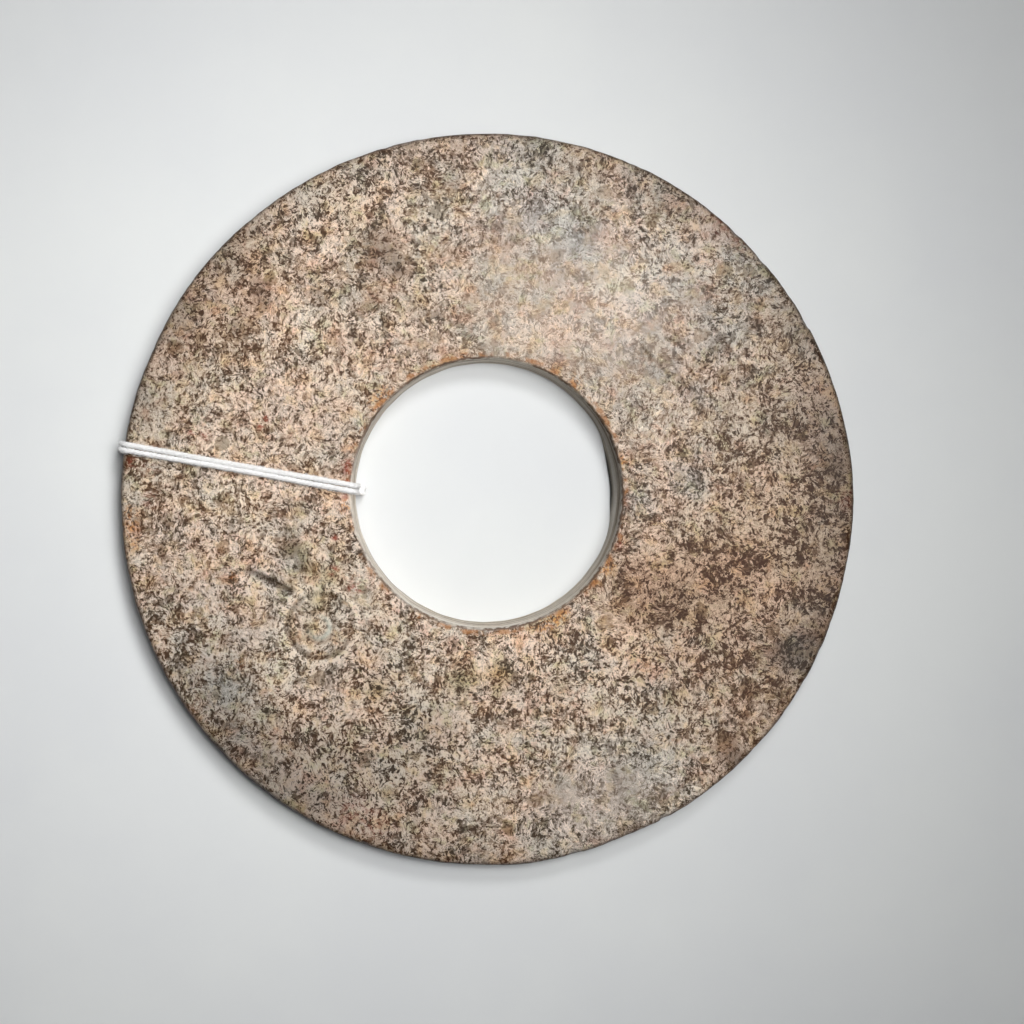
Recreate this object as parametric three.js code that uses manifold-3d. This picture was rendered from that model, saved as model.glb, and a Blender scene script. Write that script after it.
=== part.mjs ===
// A jade bi disc: a flat, slightly uneven ring of weathered stone with a tapered drilled bore,
// lying on its underside, and the thin cotton string that is wound twice round it at one side.
// Millimetres, +Z up. The origin is the middle of the disc, on the surface that it lies on.
// An azimuth is in degrees, counter-clockwise from +X seen from above.

import * as THREE from "three";
import { mergeVertices } from "three/addons/utils/BufferGeometryUtils.js";
import Module from "manifold-3d";

const wasm = await Module();
wasm.setup();

// The disc
const DISC_DIAMETER = 200;
const BORE_SIDE_THICKNESS = 10.6; // at the edge of the bore, the thickest part
const RIM_SIDE_THICKNESS = 9.5; // just inside the rounded rim
const RIM_ROUND = 2.0; // radius of the rim's upper and lower corners
const RIM_BELLY = 0.25; // how far the middle of the rim stands out past its corners
const FACE_WAVE = 0.12; // how far the ground face waves up and down round the ring
const FACE_FALL_POWER = 1.7; // the face falls slowly at first and faster near the rim

// The bore: drilled with a tube from the upper side, so it narrows downwards and leans a little
const BORE_TOP_DIAMETER = 73.5;
const BORE_BOTTOM_DIAMETER = 71;
const BORE_TOP_CENTRE = new THREE.Vector2(0.1, 1.6);
const BORE_BOTTOM_CENTRE = new THREE.Vector2(-0.5, 1.9);
const BORE_EDGE_ROUND = 0.8;

// Where the worn outline leaves the true circle: high and low stretches of the rim
const RIM_STRETCHES = [
  { at: 0, spread: 9, rise: 0.35 },
  { at: 38, spread: 14, rise: -0.38 }, // worn flat
  { at: 142, spread: 8, rise: 0.22 },
  { at: 157, spread: 5, rise: -0.18 },
  { at: 237, spread: 12, rise: 0.14 },
  { at: 277, spread: 3, rise: 0.2 },
  { at: 292.5, spread: 6, rise: -0.5 }, // long shallow break
];

// Small flakes lost from the upper corner of the rim
const RIM_CHIPS = [
  { at: 299, width: 2.6, depth: 1.1 },
  { at: 284, width: 4.5, depth: 0.7 },
  { at: 29, width: 4, depth: 0.6 },
  { at: 41, width: 3, depth: 0.5 },
  { at: 47, width: 3.5, depth: 0.5 },
];
const CHIP_HEIGHT_SHARE = 0.8; // a flake's height for its width

// The mark of a drill that was started on the upper face and given up
const DRILL_MARK = { azimuth: 217.4, inFromRim: 43.2 };
const DRILL_GROOVE_DIAMETER = 17.2;
const DRILL_GROOVE_WIDTH = 2.2;
const DRILL_GROOVE_DEPTH = 0.55;
const DRILL_STUB_DIAMETER = 7;
const STUB_GROOVE_WIDTH = 1.5;
const STUB_GROOVE_DEPTH = 0.4;

// A cut left in the upper face by the saw that parted the blank
const SAW_MARK = { azimuth: 200.9, inFromRim: 37.3 };
const SAW_MARK_LENGTH = 13;
const SAW_MARK_WIDTH = 1.8;
const SAW_MARK_DEPTH = 0.6;
const SAW_MARK_AZIMUTH = -26;

// Two rows of short shallow strokes, scratched in the upper face round one middle point
const STROKES = { azimuth: 36.2, inFromRim: 30.7 };
const STROKE_ROWS = 2;
const STROKES_IN_ROW = 4;
const STROKE_ROW_AZIMUTH = 33;
const STROKE_SPACING = 7.6;
const STROKE_ROW_SPACING = 9.5;
const STROKE_LENGTHS = [5.2, 3.8, 4.6];
const STROKE_TURNS = [-58, -38, -47, -31];
const STROKE_WIDTH = 0.9;
const STROKE_DEPTH = 0.3;

// The hollow that the saw left along the underside, which the string passes through
const HOLLOW_WIDTH = 30;

// The string
const STRING_DIAMETER = 1.45;
const STRING_PRESSED = 0.9; // its thickness where it lies under the disc
const STRING_PRESS_END = 5; // height above which it has its full roundness
const STRING_RIM_AZIMUTH = 171.8; // where it crosses the rim
const STRING_BORE_AZIMUTH = 177.7; // where it crosses the edge of the bore, seen from its centre
const STRING_GAP = 0.35; // clearance between the string and the stone
const STRING_FLOOR_GAP = 0.06; // clearance under the pressed string
const STRING_INNER_BEND = 0.5; // inside radius of its bends round the lower edges
const TURN_GAP = 0.17; // between the two turns, near the edges
const TURN_SQUEEZE = 0.09; // how far they press into each other at the middle of the face
const KNOT_STRANDS_THICK = 2;
const KNOT_STRANDS_LONG = 2.4;
const KNOT_HEIGHT = 3.4; // of its middle above the table

// Fineness of the faceted surfaces
const DISC_STEPS = 132;
const FACE_STEPS = 5;
const UNDERSIDE_STEPS = 2;
const ROUND_STEPS = 3;
const STRING_SIDES = 8;
const STRING_BEND_STEPS = 4;
const STRING_FACE_STEPS = 8;
const CUTTER_SIDES = 12;
const GROOVE_STEPS = 36;
const HOLLOW_STEPS = 144; // round the whole cylinder, of which the hollow is a small part

const toRadians = THREE.MathUtils.degToRad;
const discRadius = DISC_DIAMETER / 2;
const stringRadius = STRING_DIAMETER / 2;
const hollowDepth = STRING_FLOOR_GAP + STRING_PRESSED + STRING_GAP;
const lowBend = stringRadius + STRING_INNER_BEND;

function directionAt(azimuth) {
  return new THREE.Vector2(Math.cos(toRadians(azimuth)), Math.sin(toRadians(azimuth)));
}

function azimuthOf(x, y) {
  return THREE.MathUtils.radToDeg(Math.atan2(y, x));
}

// The shorter way round from one azimuth to another
function azimuthBetween(from, to) {
  return THREE.MathUtils.euclideanModulo(to - from + 180, 360) - 180;
}

// Distance of the rim's widest line from the disc's axis
function rimAt(azimuth) {
  let reach = discRadius;
  for (const stretch of RIM_STRETCHES) {
    const away = azimuthBetween(stretch.at, azimuth) / stretch.spread;
    reach += stretch.rise * Math.exp(-away * away);
  }
  return reach;
}

// Distance from the disc's axis to a circle whose centre lies a little off that axis
function circleAt(centre, radius, azimuth) {
  const direction = directionAt(azimuth);
  const forward = centre.dot(direction);
  const sideways = centre.cross(direction);
  return forward + Math.sqrt(radius * radius - sideways * sideways);
}

function boreTopAt(azimuth) {
  return circleAt(BORE_TOP_CENTRE, BORE_TOP_DIAMETER / 2, azimuth);
}

function boreBottomAt(azimuth) {
  return circleAt(BORE_BOTTOM_CENTRE, BORE_BOTTOM_DIAMETER / 2, azimuth);
}

// Height of the upper face at a distance from the axis
function faceHeightAt(azimuth, distance) {
  const inner = boreTopAt(azimuth);
  const outer = rimAt(azimuth) - RIM_ROUND;
  const across = THREE.MathUtils.clamp((distance - inner) / (outer - inner), 0, 1);
  const fall = (BORE_SIDE_THICKNESS - RIM_SIDE_THICKNESS) * Math.pow(across, FACE_FALL_POWER);
  const wave = FACE_WAVE * Math.sin(toRadians(2 * azimuth + 40)) * Math.sin(Math.PI * across);
  return BORE_SIDE_THICKNESS - fall + wave;
}

function faceHeight(x, y) {
  return faceHeightAt(azimuthOf(x, y), Math.hypot(x, y));
}

// Points of a quarter circle, as distances from the axis and heights
function quarterRound(centreDistance, centreHeight, radius, startAngle) {
  const points = [];
  for (let step = 0; step <= ROUND_STEPS; step += 1) {
    const angle = toRadians(startAngle + (90 * step) / ROUND_STEPS);
    const distance = centreDistance + radius * Math.cos(angle);
    const height = centreHeight + radius * Math.sin(angle);
    points.push(new THREE.Vector2(distance, height));
  }
  return points;
}

// The outline of the ring cut across at one azimuth, counter-clockwise from the lower bore edge
function discSection(azimuth) {
  const boreTop = boreTopAt(azimuth);
  const boreBottom = boreBottomAt(azimuth);
  const corner = rimAt(azimuth) - RIM_BELLY - RIM_ROUND;
  const rimTop = faceHeightAt(azimuth, corner);
  const boreLedge = boreTop + BORE_EDGE_ROUND;
  const points = [];
  const lowLedge = boreBottom + BORE_EDGE_ROUND;
  points.push(...quarterRound(lowLedge, BORE_EDGE_ROUND, BORE_EDGE_ROUND, 180));
  for (let step = 1; step < UNDERSIDE_STEPS; step += 1) {
    const distance = THREE.MathUtils.lerp(lowLedge, corner, step / UNDERSIDE_STEPS);
    points.push(new THREE.Vector2(distance, 0));
  }
  points.push(...quarterRound(corner, RIM_ROUND, RIM_ROUND, 270));
  points.push(new THREE.Vector2(rimAt(azimuth), rimTop / 2));
  points.push(...quarterRound(corner, rimTop - RIM_ROUND, RIM_ROUND, 0));
  for (let step = 1; step < FACE_STEPS; step += 1) {
    const distance = THREE.MathUtils.lerp(corner, boreLedge, step / FACE_STEPS);
    points.push(new THREE.Vector2(distance, faceHeightAt(azimuth, distance)));
  }
  const ledgeHeight = faceHeightAt(azimuth, boreLedge) - BORE_EDGE_ROUND;
  points.push(...quarterRound(boreLedge, ledgeHeight, BORE_EDGE_ROUND, 90));
  return points;
}

// A closed skin over a closed row of rings: the last ring joins the first
function closedSkin(rings) {
  const positions = rings.flat().flatMap((point) => [point.x, point.y, point.z]);
  const perRing = rings[0].length;
  const faces = [];
  for (let ring = 0; ring < rings.length; ring += 1) {
    const next = (ring + 1) % rings.length;
    for (let point = 0; point < perRing; point += 1) {
      const after = (point + 1) % perRing;
      const here = ring * perRing + point;
      const ahead = next * perRing + point;
      const aheadAfter = next * perRing + after;
      const hereAfter = ring * perRing + after;
      faces.push(here, ahead, aheadAfter, here, aheadAfter, hereAfter);
    }
  }
  const geometry = new THREE.BufferGeometry();
  geometry.setAttribute("position", new THREE.Float32BufferAttribute(positions, 3));
  geometry.setIndex(faces);
  return geometry;
}

function solidFrom(geometry) {
  const bare = geometry.clone();
  bare.deleteAttribute("normal");
  bare.deleteAttribute("uv");
  const merged = mergeVertices(bare);
  const vertProperties = new Float32Array(merged.attributes.position.array);
  const triVerts = new Uint32Array(merged.index.array);
  return new wasm.Manifold(new wasm.Mesh({ numProp: 3, vertProperties, triVerts }));
}

function geometryFrom(solid) {
  const mesh = solid.getMesh();
  const geometry = new THREE.BufferGeometry();
  geometry.setAttribute("position", new THREE.Float32BufferAttribute(mesh.vertProperties, 3));
  geometry.setIndex(Array.from(mesh.triVerts));
  geometry.computeVertexNormals();
  return geometry;
}

function discBody() {
  const rings = [];
  for (let step = 0; step < DISC_STEPS; step += 1) {
    const azimuth = (360 * step) / DISC_STEPS;
    const direction = directionAt(azimuth);
    const section = discSection(azimuth);
    rings.push(section.map((point) => new THREE.Vector3(
      point.x * direction.x,
      point.x * direction.y,
      point.y,
    )));
  }
  return solidFrom(closedSkin(rings));
}

// The plan point of a mark that is given by its azimuth and its distance in from the rim
function markPlan(mark) {
  return directionAt(mark.azimuth).multiplyScalar(discRadius - mark.inFromRim);
}

// A long shallow dent: an ellipsoid sunk into the upper face
function dentCutter(centre, length, width, depth, azimuth) {
  const geometry = new THREE.SphereGeometry(1, CUTTER_SIDES, CUTTER_SIDES / 2);
  geometry.rotateX(Math.PI / 2);
  geometry.scale(length / 2, width / 2, depth);
  geometry.rotateZ(toRadians(azimuth));
  geometry.translate(centre.x, centre.y, faceHeight(centre.x, centre.y));
  return solidFrom(geometry);
}

// A ring-shaped groove in the upper face
function ringCutter(centre, diameter, width, depth) {
  const geometry = new THREE.TorusGeometry(diameter / 2, width / 2, CUTTER_SIDES / 2, GROOVE_STEPS);
  geometry.scale(1, 1, depth / (width / 2));
  geometry.translate(centre.x, centre.y, faceHeight(centre.x, centre.y));
  return solidFrom(geometry);
}

function chipCutter(chip) {
  const place = directionAt(chip.at).multiplyScalar(rimAt(chip.at));
  const corner = faceHeightAt(chip.at, rimAt(chip.at) - RIM_ROUND) - RIM_ROUND / 2;
  const geometry = new THREE.SphereGeometry(1, CUTTER_SIDES, CUTTER_SIDES / 2);
  geometry.scale(chip.depth, chip.width / 2, (chip.width * CHIP_HEIGHT_SHARE) / 2);
  geometry.rotateZ(toRadians(chip.at));
  geometry.translate(place.x, place.y, corner);
  return solidFrom(geometry);
}

function strokeCutters() {
  const along = directionAt(STROKE_ROW_AZIMUTH).multiplyScalar(STROKE_SPACING);
  const down = directionAt(STROKE_ROW_AZIMUTH - 90).multiplyScalar(STROKE_ROW_SPACING);
  const cutters = [];
  for (let row = 0; row < STROKE_ROWS; row += 1) {
    for (let stroke = 0; stroke < STROKES_IN_ROW; stroke += 1) {
      const centre = markPlan(STROKES)
        .addScaledVector(along, stroke - (STROKES_IN_ROW - 1) / 2)
        .addScaledVector(down, row - (STROKE_ROWS - 1) / 2);
      const length = STROKE_LENGTHS[(stroke + row) % STROKE_LENGTHS.length];
      const turn = STROKE_TURNS[(stroke + 2 * row) % STROKE_TURNS.length];
      cutters.push(dentCutter(centre, length, STROKE_WIDTH, STROKE_DEPTH, turn));
    }
  }
  return cutters;
}

// The string's upright plane: from the bore's edge, outwards over the face to the rim
const stringAtBore = directionAt(STRING_BORE_AZIMUTH)
  .multiplyScalar(BORE_TOP_DIAMETER / 2)
  .add(BORE_TOP_CENTRE);
const stringAtRim = directionAt(STRING_RIM_AZIMUTH).multiplyScalar(rimAt(STRING_RIM_AZIMUTH));
const stringRun = stringAtRim.clone().sub(stringAtBore);
const stringSpan = stringRun.length();
const stringAlong = stringRun.clone().normalize();
const stringSide = new THREE.Vector3(-stringAlong.y, stringAlong.x, 0);

// A point of the disc's plan at a distance along the string's plane, from the bore's edge
function planAlongString(distance) {
  return stringAtBore.clone().addScaledVector(stringAlong, distance);
}

// The saw's hollow: a wide cylinder lying along the string's plane, sunk into the underside
function hollowCutter() {
  const halfWidth = HOLLOW_WIDTH / 2;
  const radius = (halfWidth * halfWidth + hollowDepth * hollowDepth) / (2 * hollowDepth);
  const length = stringSpan + HOLLOW_WIDTH;
  const middle = planAlongString(stringSpan / 2);
  const geometry = new THREE.CylinderGeometry(radius, radius, length, HOLLOW_STEPS);
  geometry.rotateZ(Math.PI / 2);
  geometry.rotateZ(Math.atan2(stringAlong.y, stringAlong.x));
  geometry.translate(middle.x, middle.y, hollowDepth - radius);
  return solidFrom(geometry);
}

function makeDisc() {
  let solid = discBody();
  const drillMark = markPlan(DRILL_MARK);
  const sawMark = markPlan(SAW_MARK);
  const cutters = [
    ringCutter(drillMark, DRILL_GROOVE_DIAMETER, DRILL_GROOVE_WIDTH, DRILL_GROOVE_DEPTH),
    ringCutter(drillMark, DRILL_STUB_DIAMETER, STUB_GROOVE_WIDTH, STUB_GROOVE_DEPTH),
    dentCutter(sawMark, SAW_MARK_LENGTH, SAW_MARK_WIDTH, SAW_MARK_DEPTH, SAW_MARK_AZIMUTH),
    ...strokeCutters(),
    ...RIM_CHIPS.map(chipCutter),
    hollowCutter(),
  ];
  for (const cutter of cutters) {
    solid = solid.subtract(cutter);
  }
  return geometryFrom(solid);
}

// Stations of a bend in the string's plane, as distances along it and heights
function bendStations(distance, height, radius, startAngle) {
  const stations = [];
  for (let step = 0; step <= STRING_BEND_STEPS; step += 1) {
    const angle = toRadians(startAngle - (90 * step) / STRING_BEND_STEPS);
    const along = distance + radius * Math.cos(angle);
    const up = height + radius * Math.sin(angle);
    stations.push(new THREE.Vector2(along, up));
  }
  return stations;
}

// Where the foot of the bore's wall lies in the string's plane: a little inside the top edge
function boreFoot() {
  return boreBottomAt(STRING_BORE_AZIMUTH) - boreTopAt(STRING_BORE_AZIMUTH);
}

// The middle line of one turn: out over the face, down the rim, back under and up the bore
function turnStations() {
  const stand = stringRadius + STRING_GAP;
  const rimCorner = stringSpan - RIM_ROUND;
  const cornerPlan = planAlongString(rimCorner);
  const rimTop = faceHeight(cornerPlan.x, cornerPlan.y);
  const boreCorner = BORE_SIDE_THICKNESS - BORE_EDGE_ROUND;
  const stations = [];
  stations.push(...bendStations(BORE_EDGE_ROUND, boreCorner, BORE_EDGE_ROUND + stand, 180));
  for (let step = 1; step < STRING_FACE_STEPS; step += 1) {
    const distance = THREE.MathUtils.lerp(BORE_EDGE_ROUND, rimCorner, step / STRING_FACE_STEPS);
    const plan = planAlongString(distance);
    stations.push(new THREE.Vector2(distance, faceHeight(plan.x, plan.y) + stand));
  }
  stations.push(...bendStations(rimCorner, rimTop - RIM_ROUND, RIM_ROUND + stand, 90));
  const lowHeight = stringRadius + lowBend;
  const lowOuter = stringSpan + stand - lowBend;
  const lowInner = boreFoot() - stand + lowBend;
  stations.push(...bendStations(lowOuter, lowHeight, lowBend, 0));
  stations.push(new THREE.Vector2(stringSpan / 2, stringRadius));
  stations.push(...bendStations(lowInner, lowHeight, lowBend, -90));
  return stations;
}

// Half the distance between the two turns, less at the middle of the ring than at its edges
function halfTurnSpacing(distance) {
  const fromMiddle = Math.abs(distance / stringSpan - 0.5) * 2;
  const share = THREE.MathUtils.smoothstep(fromMiddle, 0.25, 0.7);
  return stringRadius + THREE.MathUtils.lerp(-TURN_SQUEEZE, TURN_GAP, share) / 2;
}

// Heights near the table, where the string's own thickness is pressed flat under the stone
function pressedHeight(height) {
  const pressedTop = STRING_FLOOR_GAP + STRING_PRESSED;
  const { mapLinear } = THREE.MathUtils;
  if (height < STRING_DIAMETER) {
    return mapLinear(height, 0, STRING_DIAMETER, STRING_FLOOR_GAP, pressedTop);
  }
  if (height < STRING_PRESS_END) {
    return mapLinear(height, STRING_DIAMETER, STRING_PRESS_END, pressedTop, STRING_PRESS_END);
  }
  return height;
}

function stringPoint(distance, height, sideways) {
  const plan = planAlongString(distance);
  const offset = stringSide.clone().multiplyScalar(sideways);
  return new THREE.Vector3(plan.x, plan.y, height).add(offset);
}

function turnOfString(sign) {
  const stations = turnStations();
  const middles = stations.map((station) => (
    stringPoint(station.x, station.y, sign * halfTurnSpacing(station.x))
  ));
  const rings = middles.map((middle, index) => {
    const before = middles[(index + middles.length - 1) % middles.length];
    const after = middles[(index + 1) % middles.length];
    const tangent = after.clone().sub(before).normalize();
    const outward = stringSide.clone().cross(tangent);
    const ring = [];
    for (let side = 0; side < STRING_SIDES; side += 1) {
      const angle = (2 * Math.PI * side) / STRING_SIDES;
      const point = middle.clone()
        .addScaledVector(stringSide, stringRadius * Math.cos(angle))
        .addScaledVector(outward, stringRadius * Math.sin(angle));
      point.z = pressedHeight(point.z);
      ring.push(point);
    }
    return ring;
  });
  return solidFrom(closedSkin(rings));
}

function makeKnot() {
  const thickness = KNOT_STRANDS_THICK * STRING_DIAMETER;
  const length = KNOT_STRANDS_LONG * STRING_DIAMETER;
  const place = stringPoint(boreFoot() - STRING_GAP - thickness / 2, KNOT_HEIGHT, 0);
  const knot = new THREE.SphereGeometry(1, CUTTER_SIDES, CUTTER_SIDES / 2);
  knot.scale(thickness / 2, length / 2, thickness / 2);
  knot.rotateZ(Math.atan2(stringAlong.y, stringAlong.x));
  knot.translate(place.x, place.y, place.z);
  return solidFrom(knot);
}

function makeString() {
  const turns = turnOfString(1).add(turnOfString(-1));
  return geometryFrom(turns.add(makeKnot()));
}

const stone = new THREE.MeshStandardMaterial({ color: 0xa4907f, roughness: 0.5, metalness: 0 });
const cotton = new THREE.MeshStandardMaterial({ color: 0xe6e4e0, roughness: 0.95, metalness: 0 });

const disc = new THREE.Mesh(makeDisc(), stone);
disc.name = "bi_disc";

const string = new THREE.Mesh(makeString(), cotton);
string.name = "tie_string";

const part = new THREE.Group();
part.add(disc, string);

export default part;
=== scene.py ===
# %% [markdown]
# # A weathered jade disc with a string tied round it
#
# The object is a flat ring of jade, ground and drilled by hand and then buried for a very long
# time. It lies on a table and the camera looks straight down on it. The script builds the ring
# as one worn mesh, gives it a stone finish made of layered noises, and then lays a twisted
# cotton string round it.
#
# The plain solids of the ring and the string are loaded first, as a fixed frame. Every piece
# made here stands for one of them and lies where it lies.

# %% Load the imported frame
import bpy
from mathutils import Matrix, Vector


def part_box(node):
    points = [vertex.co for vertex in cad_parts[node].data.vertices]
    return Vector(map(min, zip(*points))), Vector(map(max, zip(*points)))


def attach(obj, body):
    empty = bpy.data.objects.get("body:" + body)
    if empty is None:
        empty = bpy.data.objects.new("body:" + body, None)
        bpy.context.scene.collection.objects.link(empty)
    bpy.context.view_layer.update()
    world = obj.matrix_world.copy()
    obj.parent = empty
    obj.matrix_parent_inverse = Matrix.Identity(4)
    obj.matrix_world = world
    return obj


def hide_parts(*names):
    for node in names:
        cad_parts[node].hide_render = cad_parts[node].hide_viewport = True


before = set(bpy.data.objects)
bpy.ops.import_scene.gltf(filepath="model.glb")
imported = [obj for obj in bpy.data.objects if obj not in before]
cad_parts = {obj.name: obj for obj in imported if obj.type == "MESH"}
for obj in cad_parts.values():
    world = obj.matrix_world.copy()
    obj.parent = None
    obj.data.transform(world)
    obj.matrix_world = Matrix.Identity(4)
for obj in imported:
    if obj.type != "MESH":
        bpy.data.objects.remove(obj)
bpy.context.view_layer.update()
disc_low, disc_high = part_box("bi_disc")
print("disc box in m:", [round(value, 4) for value in (*disc_low, *disc_high)])

# %% [markdown]
# ## Tools and units
#
# Blender counts in metres, but a maker of rings thinks in millimetres. All sizes below are in
# millimetres until the last moment, when `MM` turns them into Blender's metres.

# %% Tools and units
import functools
import math
import random

import bmesh
import bpy
import numpy
from mathutils import Vector, noise

MM = 0.001
print("the ring is", round((disc_high[2] - disc_low[2]) / MM, 1), "mm thick")

# %% [markdown]
# ## Camera
#
# The camera stood above the table and pointed straight down. A perspective camera 755 mm above
# the widest line of the rim shows a little of the bore's wall all round, which is what tells us
# that the bore narrows downwards. The lens is worked out from the width of table that the
# picture takes in.

# %% Camera
FRAME_PIXELS = 1024
FRAME_WIDTH = 280.36
CAMERA_HEIGHT = 760.0
WIDEST_HEIGHT = 5.0
CAMERA_X = 6.96
CAMERA_Y = -3.45
SENSOR_WIDTH = 36.0
NEAREST_SEEN = 10.0

camera_data = bpy.data.cameras.new("camera")
camera_data.sensor_width = SENSOR_WIDTH
camera_data.lens = SENSOR_WIDTH * (CAMERA_HEIGHT - WIDEST_HEIGHT) / FRAME_WIDTH
camera_data.clip_start = NEAREST_SEEN * MM
camera = bpy.data.objects.new("camera", camera_data)
camera.location = Vector((CAMERA_X, CAMERA_Y, CAMERA_HEIGHT)) * MM
bpy.context.collection.objects.link(camera)
scene = bpy.context.scene
scene.camera = camera
print("lens:", round(camera_data.lens, 2), "mm")

# %% [markdown]
# ## From a pixel to a place on the stone
#
# Stains follow no rule, so they are given as places in the picture. Each pixel of the picture
# shows one place on the ring's upper face, and this helper finds it: the further from the
# camera, the more millimetres a pixel covers.

# %% Where a pixel falls on the upper face
FACE_HEIGHT = 10.5


def face_point(pixel_x, pixel_y):
    """The place on the upper face, in mm, that shows at a pixel of the picture."""
    scale = FRAME_WIDTH / FRAME_PIXELS
    scale *= (CAMERA_HEIGHT - FACE_HEIGHT) / (CAMERA_HEIGHT - WIDEST_HEIGHT)
    middle = FRAME_PIXELS / 2
    return Vector((CAMERA_X + (pixel_x - middle) * scale, CAMERA_Y - (pixel_y - middle) * scale))


PIXEL_ON_FACE = face_point(1, 0).x - face_point(0, 0).x
print("one pixel is", round(PIXEL_ON_FACE, 4), "mm on the face")

# %% [markdown]
# ## Light
#
# Three softboxes, as in a studio. The one almost overhead is mirrored in the pale sheen on the
# upper right of the ring. One at the right and one behind the ring throw the soft shadows:
# outside the rim at the lower left, and inside the bore at the right and the top. Area lights
# are used because their size sets how soft a shadow is. A narrow spread keeps the two side
# lights on the ring, so that the table grows darker away from it.

# %% Softboxes
scene.view_settings.view_transform = "Standard"


def softbox(name, place, aim, size, power, spread=180.0):
    """A round softbox at a place in mm, turned towards its aim, with its power in watts."""
    data = bpy.data.lights.new(name, "AREA")
    data.shape = "DISK"
    data.size = size * MM
    data.energy = power
    data.spread = math.radians(spread)
    lamp = bpy.data.objects.new(name, data)
    lamp.location = Vector(place) * MM
    direction = (Vector(aim) - Vector(place)).normalized()
    lamp.rotation_euler = direction.to_track_quat("-Z", "Y").to_euler()
    bpy.context.collection.objects.link(lamp)
    return lamp


def place_by_angle(azimuth, from_vertical, distance):
    """A place above the table, seen from the middle of the ring."""
    across = math.sin(math.radians(from_vertical)) * distance
    turn = math.radians(azimuth)
    height = math.cos(math.radians(from_vertical)) * distance
    return (math.cos(turn) * across, math.sin(turn) * across, height)


RIGHT_BOX = place_by_angle(9, 19, 700)
BACK_BOX = place_by_angle(72, 33, 700)
OVERHEAD_BOX = (64, 140, 1000)
softbox("right_softbox", RIGHT_BOX, aim=(-33, -16, 0), size=380, power=0.290, spread=51)
softbox("back_softbox", BACK_BOX, aim=(-84, 30, 0), size=230, power=0.138, spread=41)
softbox("overhead_softbox", OVERHEAD_BOX, aim=(0, 10, 0), size=240, power=2.1)
print("the right softbox hangs", round(RIGHT_BOX[2]), "mm above the table")

# %% The faint light of the room
ROOM_COLOUR = (0.95, 0.97, 1.0, 1.0)
ROOM_STRENGTH = 0.035

world = bpy.data.worlds.new("studio")
world.use_nodes = True
room = world.node_tree.nodes["Background"]
room.inputs["Color"].default_value = ROOM_COLOUR
room.inputs["Strength"].default_value = ROOM_STRENGTH
scene.world = world
print("room light:", ROOM_STRENGTH)

# %% [markdown]
# ## Helpers for materials
#
# A material is a graph: small nodes, each with sockets that take a value or a link from another
# node. Made by hand that is a lot of clicking, and made by script it is a lot of the same three
# lines. The helpers below add one node, feed its sockets and give back what comes out, so that
# the stone further down reads like a recipe. Noise gives clouds and flecks, a Voronoi texture
# gives cells, and a soft step turns either into patches with an edge as crisp as we like.

# %% Add a node and feed it
def add_node(tree, kind, **settings):
    """Adds a node to the material and sets its options."""
    node = tree.nodes.new(kind)
    for name, value in settings.items():
        setattr(node, name, value)
    return node


def feed(tree, socket, value):
    """Puts a value on a socket, or links another node's output to it."""
    if isinstance(value, bpy.types.NodeSocket):
        tree.links.new(value, socket)
    else:
        socket.default_value = value


def calculate(tree, operation, *values, clamp=False):
    """Arithmetic on values or sockets."""
    node = add_node(tree, "ShaderNodeMath", operation=operation, use_clamp=clamp)
    for socket, value in zip(node.inputs, values):
        feed(tree, socket, value)
    return node.outputs[0]


def add_share(tree, total, value, share):
    """The total with a share of the value added."""
    return calculate(tree, "MULTIPLY_ADD", value, share, total)


def vector_calculate(tree, operation, first, second=None, scale=None):
    """The same for vectors and colours."""
    node = add_node(tree, "ShaderNodeVectorMath", operation=operation)
    feed(tree, node.inputs[0], first)
    if second is not None:
        feed(tree, node.inputs[1], second)
    if scale is not None:
        feed(tree, node.inputs["Scale"], scale)
    return node.outputs[0]


def vector_length(tree, vector):
    """How long a vector is, as one value."""
    node = add_node(tree, "ShaderNodeVectorMath", operation="LENGTH")
    feed(tree, node.inputs[0], vector)
    return node.outputs["Value"]


# %% Noise, cells and soft steps
def noise_at(tree, place, size, detail=2.0, roughness=0.5, distortion=0.0):
    """Noise with features of about that size; returns its value and its colour."""
    node = add_node(tree, "ShaderNodeTexNoise", noise_dimensions="3D")
    feed(tree, node.inputs["Vector"], place)
    feed(tree, node.inputs["Scale"], 1.0 / size)
    feed(tree, node.inputs["Detail"], detail)
    feed(tree, node.inputs["Roughness"], roughness)
    feed(tree, node.inputs["Distortion"], distortion)
    return node.outputs["Fac"], node.outputs["Color"]


def cells_at(tree, place, size, feature="F1"):
    """Voronoi cells of about that size."""
    node = add_node(tree, "ShaderNodeTexVoronoi", feature=feature)
    feed(tree, node.inputs["Vector"], place)
    feed(tree, node.inputs["Scale"], 1.0 / size)
    return node


def step_between(tree, value, low, high, to_low=0.0, to_high=1.0):
    """A soft step from to_low at low to to_high at high."""
    node = add_node(tree, "ShaderNodeMapRange", interpolation_type="SMOOTHSTEP")
    feed(tree, node.inputs["Value"], value)
    feed(tree, node.inputs["From Min"], low)
    feed(tree, node.inputs["From Max"], high)
    feed(tree, node.inputs["To Min"], to_low)
    feed(tree, node.inputs["To Max"], to_high)
    return node.outputs["Result"]


def read_attribute(tree, name):
    """A value that was painted on the mesh under that name."""
    return add_node(tree, "ShaderNodeAttribute", attribute_name=name).outputs["Fac"]


# %% Colours
def from_screen(red, green, blue):
    """A colour as a screen shows it, 0 to 255, turned into the linear light that nodes use."""
    parts = []
    for part in (red, green, blue):
        share = part / 255
        parts.append(share / 12.92 if share <= 0.04045 else ((share + 0.055) / 1.055) ** 2.4)
    return (*parts, 1.0)


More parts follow.
